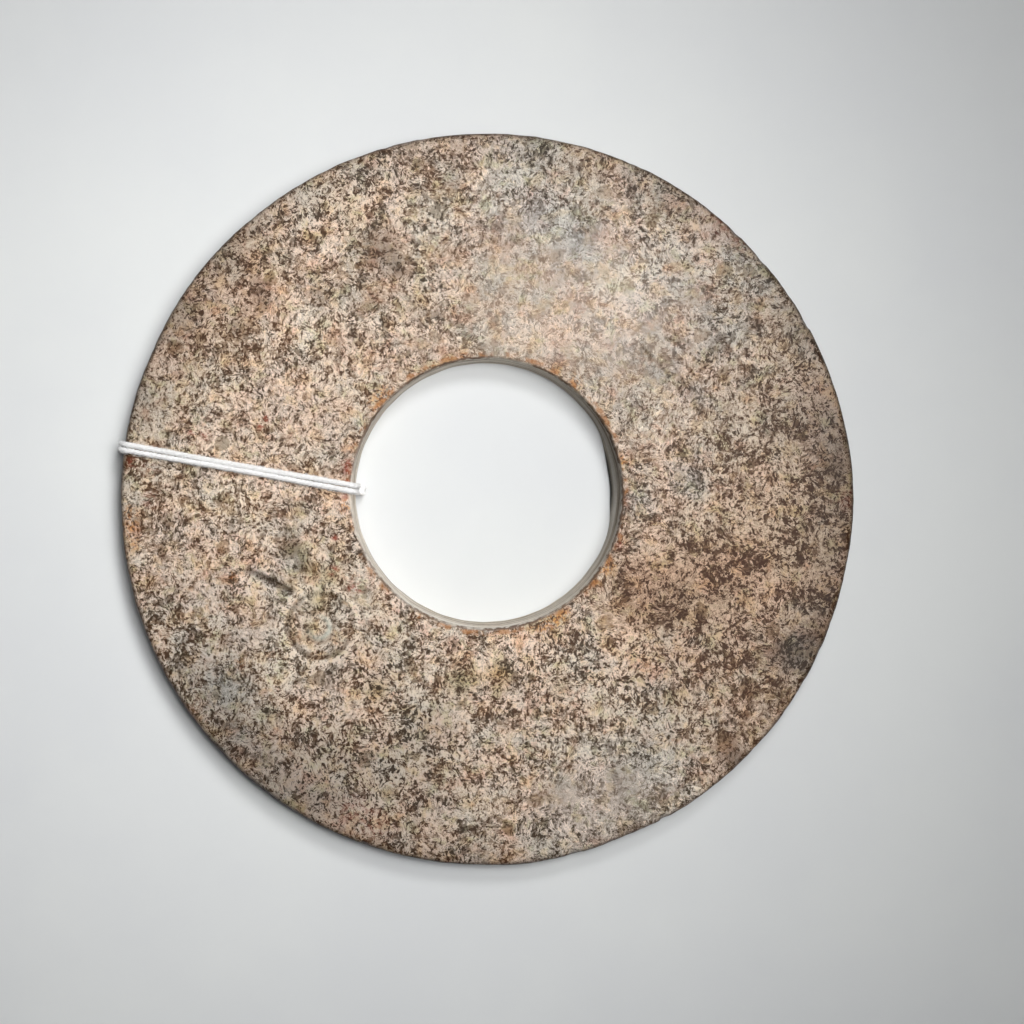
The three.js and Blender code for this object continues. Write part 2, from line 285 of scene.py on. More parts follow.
def mix_colours(tree, share, first, second, blend="MIX"):
    """The first colour where the share is 0, the second where it is 1."""
    node = add_node(tree, "ShaderNodeMix", data_type="RGBA", blend_type=blend)
    feed(tree, node.inputs["Factor"], share)
    feed(tree, node.inputs["A"], first)
    feed(tree, node.inputs["B"], second)
    return node.outputs["Result"]


def tint(tree, base, amount, colour):
    """The base multiplied by a colour, as much as the amount says."""
    return mix_colours(tree, amount, base, colour, "MULTIPLY")


def colour_ramp(tree, value, stops):
    """Turns a value into a colour; each stop is a place and a colour."""
    node = add_node(tree, "ShaderNodeValToRGB")
    feed(tree, node.inputs["Fac"], value)
    ramp = node.color_ramp
    while len(ramp.elements) < len(stops):
        ramp.elements.new(0.5)
    for element, (place, colour) in zip(ramp.elements, stops):
        element.position = place
        element.color = colour
    return node.outputs["Color"]


def three_parts(tree, colour):
    """The red, green and blue of a colour: three noises for the price of one."""
    node = add_node(tree, "ShaderNodeSeparateColor")
    feed(tree, node.inputs["Color"], colour)
    return node.outputs["Red"], node.outputs["Green"], node.outputs["Blue"]


print("a mid grey of 128 on the screen is", round(from_screen(128, 128, 128)[0], 3), "of white's light")

# %% [markdown]
# ## Table
#
# A plain pale table top. It only has to catch the shadow and bounce light up into the bore, so
# it is one flat face with the faintest clouds in its colour and sheen.

# %% Table
TABLE_SIZE = 4000
CLOUD_SIZE = 90 * MM


def paint_table():
    """Pale grey with faint clouds."""
    paint = bpy.data.materials.new("pale_table")
    paint.use_nodes = True
    tree = paint.node_tree
    shader = tree.nodes["Principled BSDF"]
    coordinates = add_node(tree, "ShaderNodeTexCoord").outputs["Object"]
    clouds, _ = noise_at(tree, coordinates, CLOUD_SIZE, 5.0, 0.55)
    share = step_between(tree, clouds, 0.3, 0.7)
    colour = mix_colours(tree, share, from_screen(226, 228, 229), from_screen(232, 234, 233))
    feed(tree, shader.inputs["Base Color"], colour)
    feed(tree, shader.inputs["Roughness"], step_between(tree, clouds, 0.3, 0.7, 0.55, 0.65))
    shader.inputs["Specular IOR Level"].default_value = 0.2
    return paint


def make_table():
    """One flat square that only stands for the table."""
    mesh = bpy.data.meshes.new("table_top")
    form = bmesh.new()
    bmesh.ops.create_grid(form, x_segments=1, y_segments=1, size=TABLE_SIZE * MM / 2)
    form.to_mesh(mesh)
    form.free()
    table = bpy.data.objects.new("table_top", mesh)
    bpy.context.collection.objects.link(table)
    mesh.materials.append(paint_table())
    return table


table_top = make_table()
print("table:", round(table_top.dimensions.x, 1), "m across")

# %% [markdown]
# ## The ring's form
#
# The real ring was cut from a slab with a sand saw, ground round at the rim and drilled with a
# tube from the upper side, so the bore narrows downwards. A lathe shape is the natural start:
# the cut-across outline is one closed loop, spun round the axis. Nothing about the real ring
# is quite true, though, so each vertex of the spun ring then moves to the worn outline, the
# leaning bore and the slightly fallen face. The same sizes are in the solid that this mesh
# replaces.

# %% Sizes of the ring
DISC_RADIUS = 100.0
BORE_SIDE_THICKNESS = 10.6
RIM_SIDE_THICKNESS = 9.5
RIM_ROUND = 2.0
RIM_BELLY = 0.25
FACE_WAVE = 0.12
FACE_FALL_POWER = 1.7
BORE_TOP_RADIUS = 36.75
BORE_BOTTOM_RADIUS = 35.5
BORE_TOP_CENTRE = Vector((0.1, 1.6))
BORE_BOTTOM_CENTRE = Vector((-0.5, 1.9))
BORE_EDGE_ROUND = 0.8

print("the ring is", round(DISC_RADIUS - BORE_TOP_RADIUS, 2), "mm wide from bore to rim")

# %% The rim's high and low stretches, and its chips
# Azimuth of the middle, spread in degrees, and rise in mm of each high or low stretch of rim
RIM_STRETCHES = (
    (0, 9, 0.35),
    (38, 14, -0.38),
    (142, 8, 0.22),
    (157, 5, -0.18),
    (237, 12, 0.14),
    (277, 3, 0.2),
    (292.5, 6, -0.5),
)
# Azimuth, width and depth in mm of each flake lost from the upper corner of the rim
RIM_CHIPS = (
    (299, 2.6, 1.1),
    (284, 4.5, 0.7),
    (29, 4.0, 0.6),
    (41, 3.0, 0.5),
    (47, 3.5, 0.5),
)


def direction_at(azimuth):
    """A direction of length 1, seen from above; azimuth 0 is to the right."""
    return Vector((math.cos(math.radians(azimuth)), math.sin(math.radians(azimuth))))


def azimuth_between(start, end):
    """Degrees from one azimuth to the other, from -180 to 180."""
    return (end - start + 180) % 360 - 180


@functools.cache
def rim_at(azimuth):
    """Distance from the axis to the rim, before it is worn."""
    reach = DISC_RADIUS
    for middle, spread, rise in RIM_STRETCHES:
        away = azimuth_between(middle, azimuth) / spread
        reach += rise * math.exp(-away * away)
    return reach


print("rim at the right:", round(rim_at(0), 2), "mm from the axis")


# %% The leaning bore and the fallen face
@functools.cache
def circle_at(centre_x, centre_y, radius, azimuth):
    """Distance from the axis to a circle whose centre lies beside the axis."""
    direction = direction_at(azimuth)
    forward = centre_x * direction.x + centre_y * direction.y
    sideways = centre_x * direction.y - centre_y * direction.x
    return forward + math.sqrt(radius * radius - sideways * sideways)


def bore_at(azimuth, rise):
    """Distance from the axis to the bore's wall; rise is 0 at its foot and 1 at its top."""
    top = circle_at(*BORE_TOP_CENTRE, BORE_TOP_RADIUS, azimuth)
    bottom = circle_at(*BORE_BOTTOM_CENTRE, BORE_BOTTOM_RADIUS, azimuth)
    return bottom + (top - bottom) * rise


def face_height(azimuth, across):
    """Height of the upper face; across is 0 at the bore and 1 at the rim."""
    fall = (BORE_SIDE_THICKNESS - RIM_SIDE_THICKNESS) * across ** FACE_FALL_POWER
    wave = FACE_WAVE * math.sin(math.radians(2 * azimuth + 40)) * math.sin(math.pi * across)
    return BORE_SIDE_THICKNESS - fall + wave


print("bore at the left:", round(bore_at(180, 1), 2), "mm from the axis at its top")

# %% [markdown]
# ## Spin the outline
#
# How fine the mesh is decides which marks it can carry. The upper face gets spans of about
# three quarters of a millimetre, because the marks and the wear are seen there. The underside
# is hardly seen and gets few.

# %% The cut-across outline
UNDERSIDE_SPANS = 18
FACE_SPANS = 80
WALL_SPANS = 12
RIM_CORNER_SPANS = 7
BORE_CORNER_SPANS = 4


def outline_points():
    """The plain ring's outline as (distance, height), counter-clockwise from the bore's foot."""
    inner = BORE_TOP_RADIUS
    outer = DISC_RADIUS
    top = BORE_SIDE_THICKNESS
    points = []

    def corner(centre_x, centre_z, radius, start, spans):
        """A quarter round of the outline, from a start angle."""
        for step in range(spans + 1):
            angle = math.radians(start + 90 * step / spans)
            points.append((centre_x + radius * math.cos(angle), centre_z + radius * math.sin(angle)))

    def straight(start, end, spans):
        """The points between two corners, without the corners themselves."""
        for step in range(1, spans):
            share = step / spans
            points.append((start[0] + (end[0] - start[0]) * share, start[1] + (end[1] - start[1]) * share))

    low_in = (inner + BORE_EDGE_ROUND, 0.0)
    low_out = (outer - RIM_BELLY - RIM_ROUND, 0.0)
    corner(low_in[0], BORE_EDGE_ROUND, BORE_EDGE_ROUND, 180, BORE_CORNER_SPANS)
    straight(low_in, low_out, UNDERSIDE_SPANS)
    corner(low_out[0], RIM_ROUND, RIM_ROUND, 270, RIM_CORNER_SPANS)
    for step in range(1, WALL_SPANS):
        share = step / WALL_SPANS
        belly = RIM_BELLY * math.sin(math.pi * share)
        height = RIM_ROUND + (top - 2 * RIM_ROUND) * share
        points.append((outer - RIM_BELLY + belly, height))
    corner(low_out[0], top - RIM_ROUND, RIM_ROUND, 0, RIM_CORNER_SPANS)
    straight((low_out[0], top), (low_in[0], top), FACE_SPANS)
    corner(low_in[0], top - BORE_EDGE_ROUND, BORE_EDGE_ROUND, 90, BORE_CORNER_SPANS)
    straight((inner, top - BORE_EDGE_ROUND), (inner, BORE_EDGE_ROUND), WALL_SPANS)
    return points


print("the outline has", len(outline_points()), "points")

# %% Spin it into a plain ring
SPIN_STEPS = 560
WELD_DISTANCE = 1e-5


def spin_ring():
    """Spins the outline a full turn and welds its end to its start."""
    form = bmesh.new()
    loop = [form.verts.new((x, 0, z)) for x, z in outline_points()]
    edges = [form.edges.new((loop[i - 1], loop[i])) for i in range(len(loop))]
    bmesh.ops.spin(
        form,
        geom=loop + edges,
        axis=(0, 0, 1),
        cent=(0, 0, 0),
        angle=math.tau,
        steps=SPIN_STEPS,
        use_merge=True,
    )
    bmesh.ops.remove_doubles(form, verts=form.verts, dist=WELD_DISTANCE)
    bmesh.ops.recalc_face_normals(form, faces=form.faces)
    return form


ring = spin_ring()
print("plain ring:", len(ring.verts), "vertices,", len(ring.faces), "faces")

# %% [markdown]
# ## Tool marks
#
# The marks that show from a step away are real form, so they move the mesh: the ring-shaped
# mark of a drill that was started and given up, the cut of a saw, and two rows of faint
# strokes. Each mark is a small function that says how far the face is pushed down at a place,
# and their sum is the face's relief. A smooth step gives every mark a soft edge, as centuries
# of wear do.

# %% Soft steps, roughness and dents
def smooth_step(low, high, value):
    """0 at low and 1 at high, with a soft rise between."""
    share = min(max((value - low) / (high - low), 0.0), 1.0)
    return share * share * (3 - 2 * share)


def rough(place, size, seed=0.0):
    """Smooth noise between about -1 and 1 with features of that size in mm."""
    return noise.noise(Vector((place.x / size + seed, place.y / size, place.z / size)))


def dent(place, centre, azimuth, length, width):
    """1 along the middle of a long dent, falling to 0 at its edges."""
    away = place.to_2d() - centre
    along = direction_at(azimuth)
    forward = away.dot(along) / (length / 2)
    sideways = (away.x * along.y - away.y * along.x) / (width / 2)
    return max(0.0, 1 - forward * forward - sideways * sideways)


print("half way up a smooth step:", smooth_step(0, 1, 0.5))

# %% The mark of a drill
DRILL_MARK = direction_at(217.4) * (DISC_RADIUS - 43.2)
DRILL_GROOVE_RADIUS = 8.6
DRILL_GROOVE_WIDTH = 2.2
DRILL_GROOVE_DEPTH = 0.45
DRILL_FLOOR_DEPTH = 0.22
DRILL_WOBBLE = 0.5
DRILL_REACH = 3
DRILL_STUB_RADIUS = 3.5
STUB_GROOVE_WIDTH = 1.5
STUB_GROOVE_DEPTH = 0.35
STUB_GROOVE_GAP = 0.8
STUB_RISE = 0.3
STUB_AZIMUTH = -40
CRATER_EDGE = 2.4
CRATER_FLOOR = 1.2
CRATER_DEPTH = 0.15


def drill_mark_depth(place):
    """A round groove, a sunk floor inside it, and the crescent that is left of its core."""
    away = (place.to_2d() - DRILL_MARK).length + DRILL_WOBBLE * rough(place, 6, 3.0)
    if away > DRILL_GROOVE_RADIUS + DRILL_REACH:
        return 0.0
    groove = 1 - ((away - DRILL_GROOVE_RADIUS) / (DRILL_GROOVE_WIDTH / 2)) ** 2
    depth = DRILL_GROOVE_DEPTH * max(0.0, groove)
    depth += DRILL_FLOOR_DEPTH * smooth_step(DRILL_GROOVE_RADIUS + 0.8, DRILL_GROOVE_RADIUS - 1, away)
    stub_groove = 1 - ((away - DRILL_STUB_RADIUS - STUB_GROOVE_GAP) / (STUB_GROOVE_WIDTH / 2)) ** 2
    depth += STUB_GROOVE_DEPTH * max(0.0, stub_groove)
    crescent = (place.to_2d() - DRILL_MARK).dot(direction_at(STUB_AZIMUTH))
    stub = smooth_step(DRILL_STUB_RADIUS + 0.3, DRILL_STUB_RADIUS - 0.8, away)
    crater = smooth_step(CRATER_EDGE, CRATER_FLOOR, away)
    depth -= STUB_RISE * stub * (1 - crater) * smooth_step(-2.0, 2.0, crescent)
    depth += CRATER_DEPTH * crater
    return depth


print("the drill mark lies", round(DRILL_MARK.length, 1), "mm from the axis")

# %% The cut of a saw
SAW_MARK = direction_at(200.9) * (DISC_RADIUS - 37.3)
SAW_MARK_AZIMUTH = -26
SAW_MARK_LENGTH = 13.0
SAW_MARK_WIDTH = 1.8
SAW_MARK_DEPTH = 0.6
SAW_RIDGE_OFFSET = 1.9
SAW_RIDGE_WIDTH = 2.6
SAW_RIDGE_RISE = 0.22
SAW_RIDGE = SAW_MARK + direction_at(SAW_MARK_AZIMUTH - 90) * SAW_RIDGE_OFFSET


def saw_mark_depth(place):
    """A narrow cut with a low ridge beside it."""
    cut = dent(place, SAW_MARK, SAW_MARK_AZIMUTH, SAW_MARK_LENGTH, SAW_MARK_WIDTH)
    ridge = dent(place, SAW_RIDGE, SAW_MARK_AZIMUTH, SAW_MARK_LENGTH + 2, SAW_RIDGE_WIDTH)
    return SAW_MARK_DEPTH * math.sqrt(cut), SAW_RIDGE_RISE * ridge


print("the saw cut is", SAW_MARK_LENGTH, "mm long")

# %% Two rows of faint strokes
STROKES = direction_at(36.2) * (DISC_RADIUS - 30.7)
STROKE_ROWS = 2
STROKES_IN_ROW = 4
STROKE_ROW_AZIMUTH = 33
STROKE_SPACING = 7.6
STROKE_ROW_SPACING = 9.5
STROKE_LENGTHS = (5.2, 3.8, 4.6)
STROKE_TURNS = (-58, -38, -47, -31)
STROKE_WIDTH = 1.35
STROKE_DEPTH = 0.3
STROKES_REACH = 24


def stroke_places():
    """The middle, length and azimuth of every stroke, row by row."""
    along = direction_at(STROKE_ROW_AZIMUTH) * STROKE_SPACING
    down = direction_at(STROKE_ROW_AZIMUTH - 90) * STROKE_ROW_SPACING
    for row in range(STROKE_ROWS):
        for stroke in range(STROKES_IN_ROW):
            centre = STROKES + along * (stroke - (STROKES_IN_ROW - 1) / 2)
            centre = centre + down * (row - (STROKE_ROWS - 1) / 2)
            length = STROKE_LENGTHS[(stroke + row) % len(STROKE_LENGTHS)]
            turn = STROKE_TURNS[(stroke + 2 * row) % len(STROKE_TURNS)]
            yield centre, length, turn


strokes = list(stroke_places())
print(len(strokes), "strokes")


def marks_depth(place):
    """How far all marks together push the upper face down at a place."""
    depth = drill_mark_depth(place)
    cut, ridge = saw_mark_depth(place)
    depth += cut
    depth -= ridge
    if (place.to_2d() - STROKES).length < STROKES_REACH:
        for centre, length, turn in strokes:
            depth += STROKE_DEPTH * dent(place, centre, turn, length, STROKE_WIDTH)
    return depth


# %% [markdown]
# ## Smaller faces at the marks
#
# The marks are narrower than a few spans of the spun ring. Making the whole mesh finer would
# cost far too many faces, so only the faces near a mark are subdivided, before they move.

# %% Subdivide near the marks
def subdivide_near(form, centre, reach, cuts):
    """Smaller faces on the upper face near a mark, so that the mark comes out crisp."""
    near = set()
    for face in form.faces:
        middle = face.calc_center_median()
        if middle.z > BORE_SIDE_THICKNESS - 0.1 and (middle.to_2d() - centre).length < reach:
            near.update(face.edges)
    # a set has no order of its own, so the edges are taken in the mesh's order
    edges = [edge for edge in form.edges if edge in near]
    bmesh.ops.subdivide_edges(form, edges=edges, cuts=cuts, use_grid_fill=True)


subdivide_near(ring, DRILL_MARK, reach=11.5, cuts=2)
subdivide_near(ring, SAW_MARK, reach=8.5, cuts=2)
subdivide_near(ring, STROKES, reach=19.0, cuts=1)
print("with the marks subdivided:", sum(len(face.verts) - 2 for face in ring.faces), "triangles")

# %% [markdown]
# ## Where the string crosses
#
# Under the string the ring's underside has one shallow hollow. The ring lies flat on the table,
# and the string has to pass beneath it, so the hollow is what makes room. Its place follows
# from where the string crosses the rim and the bore.

# %% The string's crossing and the hollow under it
STRING_RIM_AZIMUTH = 171.8
STRING_BORE_AZIMUTH = 177.7
HOLLOW_WIDTH = 30.0
HOLLOW_DEPTH = 1.31

string_at_bore = direction_at(STRING_BORE_AZIMUTH) * BORE_TOP_RADIUS + BORE_TOP_CENTRE
string_at_rim = direction_at(STRING_RIM_AZIMUTH) * rim_at(STRING_RIM_AZIMUTH)
string_span = (string_at_rim - string_at_bore).length
string_along = (string_at_rim - string_at_bore).normalized()
string_side = Vector((-string_along.y, string_along.x))
print("the string spans", round(string_span, 1), "mm of the face")


def hollow_share(place):
    """1 at the middle line of the hollow, 0 outside it."""
    away = place.to_2d() - string_at_bore
    sideways = away.dot(string_side) / (HOLLOW_WIDTH / 2)
    on_string_side = away.dot(string_along) > -HOLLOW_WIDTH / 2
    return max(0.0, 1 - sideways * sideways) if on_string_side else 0.0


# %% [markdown]
# ## Wear
#
# Rim, bore and face are each a little rough in several sizes at once: broad swells, and smaller
# ones on top. The edges have lost small nicks. The sand under the tube drill left fine lines
# round the bore's wall. Noise in 3-D gives all of these, because it is the same each time for
# the same place. A low ridge at the foot of the wall on the right carries painted shadow: it is
# darkened further down as the deep shadow that falls at that foot.

# %% How rough each part is
# The size of the features in mm, a seed, and their height in mm
RIM_ROUGHNESS = ((5, 1.0, 0.16), (1.8, 2.0, 0.10))
FACE_ROUGHNESS = ((26, 11.0, 0.07), (9, 12.0, 0.05), (2.6, 13.0, 0.035))
BORE_ROUGHNESS = ((6, 7.0, 0.16),)
# The size of the nicks in mm, a seed, the noise where a nick starts, and its depth in mm
RIM_NICKS = (3.2, 5.0, 0.25, 0.9)
BORE_NICKS = (2.6, 9.0, 0.15, 1.1)
BORE_NICK_DROP = 0.5
COARSE_LINE_DEPTH = 0.05
FINE_LINE_DEPTH = 0.03
UNDERSIDE_LIFT = 0.05
UNDERSIDE_LIFT_SHARE = 0.6


def roughness_at(place, layers):
    """All sizes of roughness added up at a place."""
    return sum(height * rough(place, size, seed) for size, seed, height in layers)


def nick_at(place, nicks):
    """How much of a nick is there, from 0, before it is given its depth."""
    size, seed, start, _ = nicks
    return max(0.0, rough(place, size, seed) - start)


# %% A low ridge at the foot of the bore's right wall, which carries painted shadow
FOOT_RIDGE_AZIMUTH = 9
FOOT_RIDGE_SPREAD = 18
FOOT_RIDGE_HEIGHT = 4.8
FOOT_RIDGE_REACH = 1.2


def foot_ridge(azimuth, z):
    """How much of the ridge is there: 1 at its middle, at the foot of the bore's right wall."""
    from_middle = azimuth_between(FOOT_RIDGE_AZIMUTH, azimuth) / FOOT_RIDGE_SPREAD
    return math.exp(-(from_middle**4)) * smooth_step(FOOT_RIDGE_HEIGHT, 0.4 * FOOT_RIDGE_HEIGHT, z)


print("the foot ridge reaches", FOOT_RIDGE_REACH, "mm into the bore")


# %% The worn rim and the worn bore
def worn_rim(place, azimuth, rise):
    """Distance from the axis to the worn rim."""
    outer = rim_at(azimuth)
    outer += roughness_at(place, RIM_ROUGHNESS)
    outer -= RIM_NICKS[-1] * nick_at(place, RIM_NICKS) * smooth_step(0.3, 1.0, rise)
    for middle, width, depth in RIM_CHIPS:
        off = math.radians(azimuth_between(middle, azimuth)) * DISC_RADIUS / (width / 2)
        if abs(off) < 1:
            outer -= depth * (1 - off * off) * smooth_step(0.35, 0.9, rise)
    return outer


def worn_bore(place, azimuth, rise, edge_share, wall_share):
    """Distance from the axis to the bore; edge_share is 1 at the bore's edge, 0 off it."""
    inner = bore_at(azimuth, min(max(rise, 0.0), 1.0))
    inner += roughness_at(place, BORE_ROUGHNESS) * edge_share
    inner += BORE_NICKS[-1] * nick_at(place, BORE_NICKS) * edge_share * smooth_step(0.75, 1.0, rise)
    lines = COARSE_LINE_DEPTH * noise.noise(Vector((azimuth / 60, 4.0, place.z * 1.6)))
    lines += FINE_LINE_DEPTH * noise.noise(Vector((azimuth / 25, 8.0, place.z * 4.0)))
    inner += lines * edge_share * wall_share
    inner -= FOOT_RIDGE_REACH * foot_ridge(azimuth, place.z) * wall_share
    return inner


# %% Bend the plain ring to the worn one
def vertex_wall_share(place):
    """1 on the bore's wall of the plain ring, 0 elsewhere."""
    return smooth_step(BORE_TOP_RADIUS + 0.7, BORE_TOP_RADIUS + 0.1, place.to_2d().length)


def weather(place, wall_share):
    """The place of a vertex of the plain ring on the worn ring."""
    distance = place.to_2d().length
    azimuth = round(math.degrees(math.atan2(place.y, place.x)), 3)
    rise = place.z / BORE_SIDE_THICKNESS
    across = (distance - BORE_TOP_RADIUS) / (DISC_RADIUS - BORE_TOP_RADIUS)
    edge_share = smooth_step(0.06, 0.0, across)
    inner = worn_bore(place, azimuth, rise, edge_share, wall_share)
    outer = worn_rim(place, azimuth, rise)
    distance = inner + (outer - inner) * across
    direction = direction_at(azimuth)
    worn = Vector((direction.x * distance, direction.y * distance, 0.0))
    worn.z = rise * face_height(azimuth, min(max(across, 0.0), 1.0))
    if rise > 0.5:
        lift = roughness_at(worn, FACE_ROUGHNESS)
        worn.z += (lift - marks_depth(worn)) * smooth_step(0.75, 1.0, rise)
        worn.z -= BORE_NICK_DROP * nick_at(place, BORE_NICKS) * edge_share
    else:
        lift = max(UNDERSIDE_LIFT + UNDERSIDE_LIFT * rough(worn, 12, 14.0), 0.0)
        lift = HOLLOW_DEPTH * hollow_share(worn) + lift * UNDERSIDE_LIFT_SHARE
        worn.z += lift * smooth_step(0.25, 0.0, rise)
    return worn


walls = [vertex_wall_share(vertex.co) for vertex in ring.verts]
for vertex, wall_share in zip(ring.verts, walls):
    vertex.co = weather(vertex.co.copy(), wall_share) * MM
print("worn ring height:", round(max(vertex.co.z for vertex in ring.verts) / MM, 2), "mm")

# %% Make the ring an object
disc_mesh = bpy.data.meshes.new("worn_jade_ring")
ring.to_mesh(disc_mesh)
ring.free()
disc_mesh.polygons.foreach_set("use_smooth", [True] * len(disc_mesh.polygons))
jade_ring = bpy.data.objects.new("worn_jade_ring", disc_mesh)
bpy.context.collection.objects.link(jade_ring)
print("ring mesh:", len(disc_mesh.vertices), "vertices")

# %% [markdown]
# ## Stains and patches
#
# Rust and earth collected along the edges of the bore and the rim, some patches of the stone
# are darker or greyer, and a part of the face kept its polish. None of it follows a pattern, so
# it is placed one by one: each spot is a pixel of the picture, a radius and a strength. The spots
# are painted onto the mesh as one named value per vertex, and the material later breaks their
# soft shapes up with its own fine noise. Values on the vertices stay with the piece wherever
# it goes, and need no picture.

# %% Paint a value on every vertex
vertex_places = numpy.empty(len(disc_mesh.vertices) * 3)
disc_mesh.vertices.foreach_get("co", vertex_places)
vertex_places = vertex_places.reshape(-1, 3) / MM
SPOT_SOFTNESS = 1.4


def paint_values(name, values):
    """Stores one number per vertex under a name that the material can read."""
    attribute = disc_mesh.attributes.new(name, "FLOAT", "POINT")
    attribute.data.foreach_set("value", values)


def spot_values(spots):
    """Soft round spots, each as pixel x, pixel y, radius in pixels, strength."""
    total = numpy.zeros(len(vertex_places))
    for pixel_x, pixel_y, radius, strength in spots:
        centre = face_point(pixel_x, pixel_y)
        away = numpy.hypot(vertex_places[:, 0] - centre.x, vertex_places[:, 1] - centre.y)
        away /= radius * PIXEL_ON_FACE
        total += strength * numpy.exp(-SPOT_SOFTNESS * away * away)
    return numpy.minimum(total, 1.0)


paint_values("bore_wall", walls)
print("on the bore's wall:", sum(share > 0.5 for share in walls), "vertices")

# %% Rust along the edges, and small iron-red stains
RUST_SPOTS = (
    (622, 460, 8, 1.1), (575, 384, 10, 0.8), (555, 372, 8, 0.7), (463, 356, 8, 0.7),
    (385, 394, 10, 0.9), (376, 405, 9, 0.9), (354, 452, 7, 0.8), (349, 503, 7, 1.3),
    (343, 508, 6, 1.2), (356, 497, 5, 1.2), (352, 525, 5, 0.9), (548, 622, 9, 1.3),
    (556, 619, 8, 1.3), (540, 627, 7, 1.0), (566, 612, 7, 1.0), (608, 566, 8, 1.1),
    (600, 574, 7, 1.1), (594, 582, 6, 0.9), (129, 512, 8, 1.0), (130, 528, 9, 1.0),
    (133, 545, 8, 0.8), (125, 560, 6, 0.6), (231, 577, 6, 0.9), (240, 662, 6, 0.7),
)
RED_SPOTS = (
    (287, 421, 4, 1.0), (266, 419, 4, 1.4), (261, 427, 4, 1.4), (205, 435, 5, 0.9),
    (190, 433, 4, 1.0), (335, 570, 5, 1.0), (353, 588, 5, 1.3), (361, 588, 5, 1.3),
    (330, 572, 4, 0.8), (347, 463, 5, 1.2), (347, 472, 5, 1.2), (349, 481, 5, 1.0),
    (335, 539, 4, 1.4), (345, 497, 5, 0.9), (620, 505, 8, 0.9), (618, 540, 7, 0.9),
    (722, 222, 14, 0.6), (744, 243, 12, 0.6), (850, 500, 12, 0.6), (352, 812, 20, 0.5),
    (376, 826, 16, 0.5), (150, 470, 10, 0.4), (148, 500, 9, 0.5), (131, 463, 6, 0.7),
)
paint_values("rust", spot_values(RUST_SPOTS))
paint_values("red", spot_values(RED_SPOTS))
print(len(RUST_SPOTS), "rust spots and", len(RED_SPOTS), "red ones")

# %% Grey and olive stone
GREY_SPOTS = (
    (540, 215, 26, 0.8), (578, 240, 20, 0.8), (690, 480, 18, 0.7), (610, 800, 55, 0.55),
    (660, 770, 40, 0.5), (560, 830, 40, 0.4), (720, 330, 30, 0.3), (520, 160, 40, 0.4),
    (258, 573, 8, 0.9), (272, 582, 9, 0.9), (287, 590, 8, 0.8), (292, 558, 13, 0.6),
    (800, 650, 24, 0.7), (640, 500, 12, 0.6), (224, 690, 20, 0.5),
)
OLIVE_SPOTS = (
    (320, 600, 14, 0.8), (312, 628, 8, 0.9), (330, 575, 14, 0.8), (290, 550, 10, 0.8),
    (377, 690, 14, 0.9), (462, 680, 18, 0.9), (502, 674, 16, 0.9), (310, 570, 12, 0.6),
    (560, 690, 12, 0.5), (270, 715, 10, 0.5), (420, 300, 12, 0.4), (350, 215, 14, 0.4),
)
paint_values("grey", spot_values(GREY_SPOTS))
paint_values("olive", spot_values(OLIVE_SPOTS))
print(len(GREY_SPOTS), "grey spots and", len(OLIVE_SPOTS), "olive ones")

# %% [markdown]
# ## Dark and pale marks
#
# Earth sits in what is cut or sunk, and rubbing bleaches what stands up. So the drill mark has
# dark rings in its grooves and pale rings beside them, and each saw cut or scratch is a thin
# dark streak with a pale one next to it. Towards one side the rings are stronger: there the
# dark ones are painted shade in the grooves and the pale ones painted light beside them. They
# are painted the same way, as rings and streaks with soft edges.

# %% Soft rings and streaks
def ring_spot_values(rings):
    """Soft rings that show most towards one azimuth."""
    total = numpy.zeros(len(vertex_places))
    for pixel_x, pixel_y, radius, width, azimuth, elsewhere, strength in rings:
        centre = face_point(pixel_x, pixel_y)
        x = vertex_places[:, 0] - centre.x
        y = vertex_places[:, 1] - centre.y
        away = (numpy.hypot(x, y) / PIXEL_ON_FACE - radius) / width
        toward = 0.5 + 0.5 * numpy.cos(numpy.arctan2(y, x) - math.radians(azimuth))
        total += strength * numpy.exp(-away * away) * (elsewhere + (1 - elsewhere) * toward)
    return total


def streak_values(streaks):
    """Soft straight streaks between two pixels."""
    total = numpy.zeros(len(vertex_places))
    for start_x, start_y, end_x, end_y, half_width, strength in streaks:
        start = face_point(start_x, start_y)
        along = face_point(end_x, end_y) - start
        length = along.length
        along.normalize()
        x = vertex_places[:, 0] - start.x
        y = vertex_places[:, 1] - start.y
        forward = numpy.clip(x * along.x + y * along.y, 0, length)
        away = numpy.hypot(x - forward * along.x, y - forward * along.y)
        away /= half_width * PIXEL_ON_FACE
        total += strength * numpy.exp(-away * away)
    return total


# %% Rings of the drill mark
# Towards the azimuth where a ring shows most it is painted light: the dark rings painted shade in the
# grooves, the pale rings painted light beside them. The share elsewhere is earth and rubbing.
# Pixel x, pixel y, radius, width, azimuth where it shows most, share elsewhere, strength
DARK_RINGS = (
    (319.7, 626.1, 32, 2.4, 235, 0.22, 1.3),
    (318.5, 627.4, 15, 1.6, 300, 0.3, 0.6),
    (268, 715, 13, 1.5, 90, 0.3, 0.5),
)
PALE_RINGS = (
    (319.7, 626.1, 37, 3.2, 235, 0.5, 1.4),
    (319.7, 622.0, 38, 3.0, 90, 0.3, 0.8),
    (275, 666, 17, 1.8, 180, 0.8, 0.9),
)
STUB_RINGS = (
    (318.5, 627.4, 11.0, 2.6, -35, 0.0, 1.0),
)
paint_values("stub", ring_spot_values(STUB_RINGS))
print(len(DARK_RINGS), "dark rings and", len(PALE_RINGS), "pale ones")

